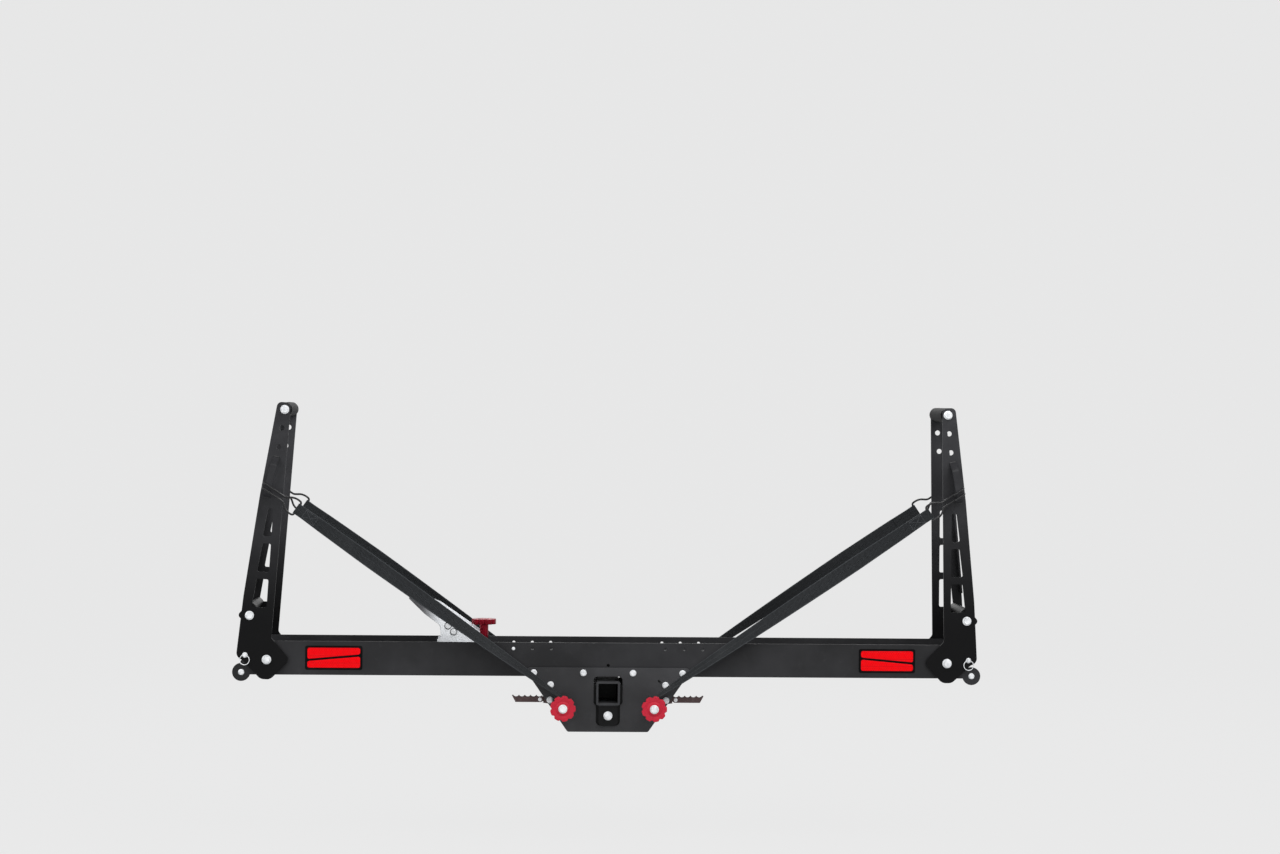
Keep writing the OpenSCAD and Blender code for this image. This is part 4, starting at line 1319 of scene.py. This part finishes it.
@dataclass
class Welds:
    """Rippled weld beads: at the strap loops' feet, on the receiver carriers and under the floor."""

    loop_rows: tuple[float, ...] = (0.0, 6.0, 106.0, 112.0)
    loop_half: float = 8.5
    wall_in: float = 96.7
    floor_low: float = 97.2
    floor_first: float = 250.0
    floor_step: float = 115.0
    floor_count: int = 6
    floor_length: float = 40.0
    carrier_half: float = 72.0
    carrier_low: float = -92.0
    carrier_top: float = 18.0
    plate_in: float = 101.5
    bead: float = 2.2
    bead_step: float = 0.55
    ripple: float = 0.14
    ripple_turn: float = 1.9
    tail: float = 0.45

    def _bead(self, name: str, a: Vector, b: Vector) -> bpy.types.Object:
        """Lays one bead from a to b.

        Args:
            name: Name of the piece.
            a: Start.
            b: End.

        Returns:
            The bead.
        """
        count = max(6, int((b - a).length / (self.bead_step * MM * self.bead)))
        points = [a.lerp(b, step / count) for step in range(count + 1)]
        radii = [1.0 + self.ripple * (math.sin(step * self.ripple_turn) - 1.0) for step in range(count + 1)]
        radii[0] = radii[-1] = self.tail
        return Bench.wire(name, points, self.bead * MM, sides=2, radii=radii)

    def loops(self, end: End, lean: float) -> bpy.types.Object:
        """Welds the feet of both strap loops of one arm.

        Args:
            end: End of the tray.
            lean: Inward lean of that arm in degrees.

        Returns:
            The beads as one piece.
        """
        beads = []
        for face in Face:
            place = Place(end, face)
            for row, run in enumerate(self.loop_rows):
                sides = (ARM.on_loop(run, half, lean) for half in (-self.loop_half, self.loop_half))
                ends = (place.spot(x, ARM.face, z) for x, z in sides)
                beads.append(self._bead(f"{place.tag}_loop_bead_{row}", *ends))
        return Bench.join(beads, f"{end.value}_loop_welds")

    def frame(self) -> bpy.types.Object:
        """Welds the receiver carriers to the plates and the floor to the walls, and returns the beads."""
        beads = []
        for place in (Place(end, face) for end in End for face in Face):
            levels = (self.carrier_low, self.carrier_top)
            ends = (place.spot(self.carrier_half, self.plate_in, level) for level in levels)
            beads.append(self._bead(f"{place.tag}_carrier_bead", *ends))
            for index in range(self.floor_count):
                x = self.floor_first + index * self.floor_step
                ends = (place.spot(at, self.wall_in, self.floor_low) for at in (x, x + self.floor_length))
                beads.append(self._bead(f"{place.tag}_floor_bead_{index}", *ends))
        return Bench.join(beads, "frame_welds")

    def dress(self, finishes: Finishes, leans: dict[End, float]) -> None:
        """Lays all beads.

        Args:
            finishes: Finishes of the carrier.
            leans: Inward lean of each arm in degrees.
        """
        pieces = [(self.frame(), "frame")]
        pieces += [(self.loops(end, lean), f"{end.value}_arm") for end, lean in leans.items()]
        for piece, body in pieces:
            finishes.put(piece, "weld")
            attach(piece, body)
        LOG.info("welds on %d bodies", len(pieces))


@dataclass
class PawlSpring:
    """Torsion spring round a pedal pivot, with one leg behind the spacer and one under the lever's peg."""

    end: End
    pivot_x: float = 155.5
    pivot_z: float = -19.0
    radius: float = 10.2
    wire: float = 2.0
    gap: float = 0.6
    first_out: float = 80.4
    quarters: int = 17
    quarter_steps: int = 6
    held_leg: tuple[tuple[float, float], ...] = ((-11.8, 46.0), (-11.3, 24.0), (-10.4, 5.0))
    moved_leg: tuple[float, ...] = (6.0, 19.0)

    @property
    def last_out(self) -> float:
        """Distance of the innermost turn out from the tray's middle."""
        return self.first_out - self.quarters / 4 * (self.wire + self.gap)

    def spot(self, x: float, out: float, z: float) -> Vector:
        """Point in metres, with X and Z from the pivot and a distance out from the tray's middle."""
        return Place(self.end, Face.REAR).spot(self.pivot_x + x, out, self.pivot_z + z)

    def build(self) -> bpy.types.Object:
        """Winds the spring and returns it."""
        inner = self.last_out
        points = [self.spot(x, inner, z) for x, z in self.held_leg]
        for step in range(self.quarters * self.quarter_steps + 1):
            quarter = step / self.quarter_steps
            x, z = turned((self.radius, 0.0), 180.0 + quarter * 90.0)
            points.append(self.spot(x, inner + quarter / 4 * (self.wire + self.gap), z))
        points += [self.spot(x, self.first_out, -self.radius) for x in self.moved_leg]
        return Bench.wire(f"{self.end.value}_spring_wire", points, self.wire / 2 * MM, sides=3)

    def dress(self, finishes: Finishes) -> None:
        """Builds the spring in the place of its node.

        Args:
            finishes: Finishes of the carrier.
        """
        piece = self.build()
        finishes.put(piece, "zinc")
        held, moved = (self.spot(0.0, out, 0.0) for out in (self.last_out, self.first_out))
        tuple(held)
        tuple(moved)
        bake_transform(piece)
        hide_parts(f"{self.end.value}_pawl_spring")
        LOG.info("spring %s", self.end.value)


@dataclass
class TreadRivet:
    """Domed rivet head that holds a foot tread to its pawl lever."""

    end: End
    x: float = 182.0
    z: float = -19.0
    out: float = 94.4
    radius: float = 5.2
    rise: float = 2.6

    def build(self) -> bpy.types.Object:
        """Builds the head with its dome away from the vehicle and returns it."""
        Bench.clear()
        centre = Place(self.end, Face.REAR).spot(self.x, self.out + self.rise / 2, self.z)
        bpy.ops.mesh.primitive_cylinder_add(
            vertices=40,
            radius=self.radius * MM,
            depth=self.rise * MM,
            location=centre,
            rotation=(math.pi / 2, 0.0, 0.0),
        )
        piece = Bench.current(f"{self.end.value}_rivet_head")
        Bench.bevel(piece, width=self.rise * 0.45 * MM, segments=4, angle=30.0)
        return Bench.settle(piece, angle=40.0)

    def dress(self, finishes: Finishes) -> None:
        """Builds the head and ties it to its pedal.

        Args:
            finishes: Finishes of the carrier.
        """
        piece = self.build()
        finishes.put(piece, "zinc")
        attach(piece, f"{self.end.value}_pedal")
        LOG.info("rivet %s", self.end.value)


@dataclass
class ReflectorFace:
    """Two rounded lens halves of a reflector, with a slightly tilted seam between them."""

    end: End
    x: float
    z: float = 90.0
    half_long: float = 70.2
    half_high: float = 26.6
    seam_in: float = 6.4
    seam_out: float = -6.2
    seam: float = 5.8
    back: float = 102.7
    thick: float = 1.2
    corner: float = 5.4

    def _half(self, name: str, inner: tuple[float, float], outer: tuple[float, float]) -> bpy.types.Object:
        """Builds one half.

        Args:
            name: Name of the half.
            inner: Its lower and upper edge at the end to the carrier's middle, from the reflector's middle.
            outer: The same at the other end.

        Returns:
            The half in its place.
        """
        place = Place(self.end, Face.REAR)
        Bench.clear()
        bpy.ops.mesh.primitive_cube_add(size=1.0)
        piece = Bench.current(name)
        for vertex in piece.data.vertices:
            edges = outer if vertex.co.x > 0.0 else inner
            run = math.copysign(self.half_long, vertex.co.x)
            out = self.back + (self.thick if vertex.co.y < 0.0 else 0.0)
            vertex.co = place.spot(self.x + run, out, self.z + edges[1 if vertex.co.z > 0.0 else 0])
        y = [vertex.co.y for vertex in piece.data.vertices]
        thin = 0.5 * self.thick * MM
        Bench.pick(piece, "EDGE", lambda edge: abs(y[edge.vertices[0]] - y[edge.vertices[1]]) > thin)
        bpy.ops.mesh.bevel(offset=self.corner * MM, segments=8, affect="EDGES")
        bpy.ops.object.mode_set(mode="OBJECT")
        Bench.bevel(piece, width=self.thick * 0.4 * MM, segments=3, angle=60.0)
        return Bench.settle(piece, angle=40.0)

    def halves(self) -> list[bpy.types.Object]:
        """Builds the upper and the lower half and returns them."""
        gap = self.seam / 2
        name = f"{self.end.value}_lens"
        ends = (self.seam_in, self.seam_out)
        return [
            self._half(f"{name}_upper", *((seam + gap, self.half_high) for seam in ends)),
            self._half(f"{name}_lower", *((-self.half_high, seam - gap) for seam in ends)),
        ]


@dataclass
class Reflectors:
    """The lenses of both reflectors as one piece."""

    places: tuple[tuple[End, float], ...] = ((End.LEFT, 733.0), (End.RIGHT, 750.0))

    def dress(self, finishes: Finishes) -> None:
        """Builds the lenses and puts them in the place of their node.

        Args:
            finishes: Finishes of the carrier.
        """
        halves = [half for end, x in self.places for half in ReflectorFace(end, x).halves()]
        piece = Bench.join(halves, "reflector_faces")
        finishes.put(piece, "lens")
        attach(piece, "frame")
        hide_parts("reflector_lenses")
        LOG.info("reflectors with %d lens halves", len(halves))


@dataclass
class CheekShadeRings:
    """Dark rings under the bolt heads of the chock's cheeks: painted shade round the heads."""

    spots: tuple[tuple[float, float], ...] = ((431.0, 172.5), (416.0, 156.5))
    out: float = 44.6
    radius: float = 8.5
    wire: float = 1.2

    def dress(self, finishes: Finishes) -> None:
        """Builds the rings as one piece and ties it to the chock.

        Args:
            finishes: Finishes of the carrier.
        """
        rings = []
        for face in Face:
            for x, z in self.spots:
                Bench.clear()
                bpy.ops.mesh.primitive_torus_add(
                    major_segments=48,
                    minor_segments=10,
                    major_radius=self.radius * MM,
                    minor_radius=self.wire * MM,
                    location=Place(End.LEFT, face).spot(x, self.out, z),
                    rotation=(math.pi / 2, 0.0, 0.0),
                )
                rings.append(Bench.settle(Bench.current("cheek_shade_ring"), angle=60.0))
        piece = Bench.join(rings, "cheek_shade_rings")
        # Near black, as painted shade round the bolt heads.
        finishes.put(piece, "moulding")
        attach(piece, "chock")
        LOG.info("cheek rings: %d", len(rings))


@dataclass
class BridgeLoops:
    """Both strap loops of one arm: flat bars bent to a bridge, with sloped legs welded to the arm's plates.

    The profile gives distances along the arm and out from its plate.
    """

    end: End
    lean: float
    profile: tuple[tuple[float, float], ...] = ((3.0, 0.0), (21.5, 32.0), (88.0, 32.0), (109.0, 0.0))
    bend: float = 3.5
    bend_steps: int = 6
    width: float = 17.0
    thick: float = 5.0
    cells: int = 4

    def _route(self) -> list[tuple[float, float]]:
        """Middle of the bar from foot to foot, along the arm and out from it, with rounded bends."""
        points = [self.profile[0]]
        for before, corner, after in zip(self.profile, self.profile[1:], self.profile[2:]):
            ends = []
            for other in (before, after):
                reach = self.bend / math.dist(corner, other)
                ends.append(tuple(c + (o - c) * reach for c, o in zip(corner, other)))
            for step in range(self.bend_steps + 1):
                t = step / self.bend_steps
                shares = ((1 - t) ** 2, 2 * t * (1 - t), t**2)
                spots = zip(ends[0], corner, ends[1])
                points.append(tuple(sum(p * share for p, share in zip(spot, shares)) for spot in spots))
        return points + [self.profile[-1]]

    def _loop(self, face: Face) -> bpy.types.Object:
        """Builds the loop on one plate.

        Args:
            face: Side of the tray.

        Returns:
            The loop.
        """
        place = Place(self.end, face)
        centres = []
        for run, rise in self._route():
            x, z = ARM.on_loop(run, 0.0, self.lean)
            centres.append(place.spot(x, ARM.face + max(rise - self.thick / 2, 0.0), z))
        across = turned((-ARM.loop_way[1], ARM.loop_way[0]), self.lean)
        count = len(centres)
        sides = [place.way(across[0], 0.0, across[1])] * count
        widths = [self.width * MM] * count
        return Bench.band(f"{place.tag}_bridge", centres, sides, widths, self.thick * MM, self.cells)

    def dress(self, finishes: Finishes) -> None:
        """Builds both loops and puts them in the place of their node.

        Args:
            finishes: Finishes of the carrier.
        """
        piece = Bench.join([self._loop(face) for face in Face], f"{self.end.value}_bridges")
        finishes.put(piece, "loop_coat")
        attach(piece, f"{self.end.value}_arm")
        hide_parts(f"{self.end.value}_strap_loops")
        LOG.info("bridge loops %s", self.end.value)


# Stage


@dataclass(frozen=True)
class Lamp:
    """One soft square lamp."""

    name: str
    spot: tuple[float, float, float]
    aim: tuple[float, float, float]
    size: float
    power: float

    def hang(self) -> None:
        """Hangs the lamp so that it faces its aim."""
        lamp = bpy.data.lights.new(self.name, "AREA")
        lamp.size = self.size
        lamp.energy = self.power
        holder = bpy.data.objects.new(self.name, lamp)
        holder.location = self.spot
        holder.rotation_euler = (Vector(self.aim) - Vector(self.spot)).to_track_quat("-Z", "Y").to_euler()
        bpy.context.scene.collection.objects.link(holder)


@dataclass(frozen=True)
class Studio:
    """Pale floor and backdrop, soft light and the camera."""

    floor_z: float = -0.42
    floor_start: float = -12.0
    floor_flat: float = 17.0
    floor_sweep: float = 3.0
    sheet_long: float = 30.0
    sheet_wide: float = 40.0
    lamps: tuple[Lamp, ...] = (
        Lamp("key", (1.6, -3.6, 3.4), (0.1, -0.4, 0.2), 3.2, 150.0),
        Lamp("fill", (-3.4, -3.0, 2.2), (-0.2, -0.4, 0.2), 3.0, 70.0),
        Lamp("back", (0.4, 3.2, 3.2), (0.0, -0.4, 0.2), 3.0, 90.0),
    )
    room_light: RGB = (0.9, 0.92, 0.95)
    room_strength: float = 0.55
    room_tone: RGB = linear(231, 231, 231)
    camera: tuple[float, float, float] = (-0.22178, -7.94800, 0.78183)
    yaw: float = -0.0403536
    pitch: float = -0.0091648
    roll: float = -0.0097969
    focal_px: float = 2781.96
    width_px: float = 1280.0
    sensor: float = 36.0
    far: float = 100.0

    def build(self) -> None:
        """Sets the floor, the lights, the world and the camera."""
        self._backdrop()
        for lamp in self.lamps:
            lamp.hang()
        self._world()
        self._view()

    def _backdrop(self) -> None:
        """Bends a large sheet up behind the object."""
        quarter = math.pi / 2
        Bench.clear()
        bpy.ops.mesh.primitive_grid_add(x_subdivisions=4, y_subdivisions=48, size=1.0, location=(0, 0, 0))
        sheet = Bench.current("floor")
        for vertex in sheet.data.vertices:
            run = (vertex.co.y + 0.5) * self.sheet_long
            past = run - self.floor_flat
            turn = min(max(past / (self.floor_sweep * quarter), 0.0), 1.0) * quarter
            rest = max(past - self.floor_sweep * quarter, 0.0)
            y = self.floor_start + min(run, self.floor_flat) + self.floor_sweep * math.sin(turn)
            z = self.floor_z + self.floor_sweep * (1.0 - math.cos(turn)) + rest
            vertex.co = Vector((vertex.co.x * self.sheet_wide, y, z))
        Bench.settle(sheet, angle=60.0)
        sheet.data.materials.append(PaleFloor("floor_paint").make())

    def _world(self) -> None:
        """Fills the room with even pale light, and shows the backdrop's tone past its edges."""
        world = bpy.data.worlds.new("room")
        world.use_nodes = True
        tree = world.node_tree
        light = tree.nodes["Background"]
        light.inputs["Color"].default_value = (*self.room_light, 1.0)
        light.inputs["Strength"].default_value = self.room_strength
        shown = tree.nodes.new("ShaderNodeBackground")
        shown.inputs["Color"].default_value = (*self.room_tone, 1.0)
        path = tree.nodes.new("ShaderNodeLightPath")
        seen = path.outputs["Is Camera Ray"]
        for name in ("Is Glossy Ray", "Is Transmission Ray"):
            either = tree.nodes.new("ShaderNodeMath")
            either.operation = "MAXIMUM"
            tree.links.new(seen, either.inputs[0])
            tree.links.new(path.outputs[name], either.inputs[1])
            seen = either.outputs[0]
        both = tree.nodes.new("ShaderNodeMixShader")
        for index, output in enumerate((seen, light.outputs[0], shown.outputs[0])):
            tree.links.new(output, both.inputs[index])
        tree.links.new(both.outputs[0], tree.nodes["World Output"].inputs["Surface"])
        bpy.context.scene.world = world

    def _view(self) -> None:
        """Sets the camera where the photo was taken."""
        forward = Vector((-math.sin(self.yaw), math.cos(self.yaw), 0.0))
        right = Vector((math.cos(self.yaw), math.sin(self.yaw), 0.0))
        up = Vector((0.0, 0.0, 1.0))
        look = forward * math.cos(self.pitch) + up * math.sin(self.pitch)
        top = up * math.cos(self.pitch) - forward * math.sin(self.pitch)
        across = right * math.cos(self.roll) - top * math.sin(self.roll)
        top = right * math.sin(self.roll) + top * math.cos(self.roll)
        lens = bpy.data.cameras.new("camera")
        lens.sensor_fit = "HORIZONTAL"
        lens.sensor_width = self.sensor
        lens.lens = self.focal_px / self.width_px * self.sensor
        lens.clip_end = self.far
        holder = bpy.data.objects.new("camera", lens)
        turn = Matrix((across, top, -look)).transposed().to_4x4()
        holder.matrix_world = Matrix.Translation(Vector(self.camera)) @ turn
        bpy.context.scene.collection.objects.link(holder)
        bpy.context.scene.camera = holder


# The carrier


@dataclass
class Carrier:
    """The whole carrier: node finishes and all new pieces."""

    finishes: Finishes
    left_lean: float = 3.9
    right_lean: float = 0.6
    clamp_at: tuple[float, float, float] = (-0.335, -0.4, 0.182)
    winder_y: float = -565.0
    winder_diameter: float = 0.068

    def node_finish(self, node: str, slot: str) -> str:
        """Chooses the finish of a CAD node.

        Args:
            node: Name of the node.
            slot: Its material slot in the record.

        Returns:
            Name of the finish.
        """
        if slot == "black_steel":
            if node.endswith("_plate"):
                return "plate_coat"
            if node == "receiver_tube":
                return "receiver_coat"
            if node.endswith("_arm"):
                return "arm_coat"
            if node.endswith("tread"):
                return "tread_steel"
            # Other steel parts get the near black coat, which also stands as painted shade on the receiver
            # carriers in their recesses.
            return "tray_coat" if node == "tray" else "bar_coat"
        if node.endswith("pawl_lever"):
            return "tread_steel"
        return {
            "zinc_steel": "zinc",
            "webbing": "webbing",
            "black_sleeve": "sleeve",
            "black_plastic": "moulding",
            "red_lens": "lens",
            "red_plastic": "clamp_red" if node.startswith("chock") else "winder_red",
            "bare_aluminium": "aluminium",
        }[slot]

    def dress_nodes(self) -> None:
        """Gives every CAD node its finish."""
        for part in frame["record"]["subparts"]:
            node, slot = part["node"], part["material_slot"]
            self.finishes.put(frame["nodes"][node], self.node_finish(node, slot))

    def build(self) -> None:
        """Builds every new piece in order."""
        self.dress_nodes()
        leans = {End.LEFT: self.left_lean, End.RIGHT: self.right_lean}
        ClampKnob(Vector(self.clamp_at)).dress(self.finishes)
        Welds().dress(self.finishes, leans)
        Reflectors().dress(self.finishes)
        CheekShadeRings().dress(self.finishes)
        for end, lean in leans.items():
            for face in Face:
                StrapRun(Place(end, face), lean).dress(self.finishes)
            BridgeLoops(end, lean).dress(self.finishes)
            PawlSpring(end).dress(self.finishes)
            TreadRivet(end).dress(self.finishes)
            HandWheel(
                name=f"{end.value}_winder",
                node=f"{end.value}_knob",
                body=f"{end.value}_spool",
                centre=Vector((end.sign * SPOOL[0], self.winder_y, SPOOL[1])) * MM,
                axis=Vector((0.0, -1.0, 0.0)),
                diameter=self.winder_diameter,
                finish="winder_red",
            ).dress(self.finishes)


def main() -> None:
    """Builds the carrier and its stage, then notes the sizes."""
    logging.basicConfig(level=logging.INFO, format="%(name)s %(message)s")
    bpy.context.scene.view_settings.view_transform = "Standard"
    Studio().build()
    Carrier(Finishes()).build()


if __name__ == "__main__":
    main()
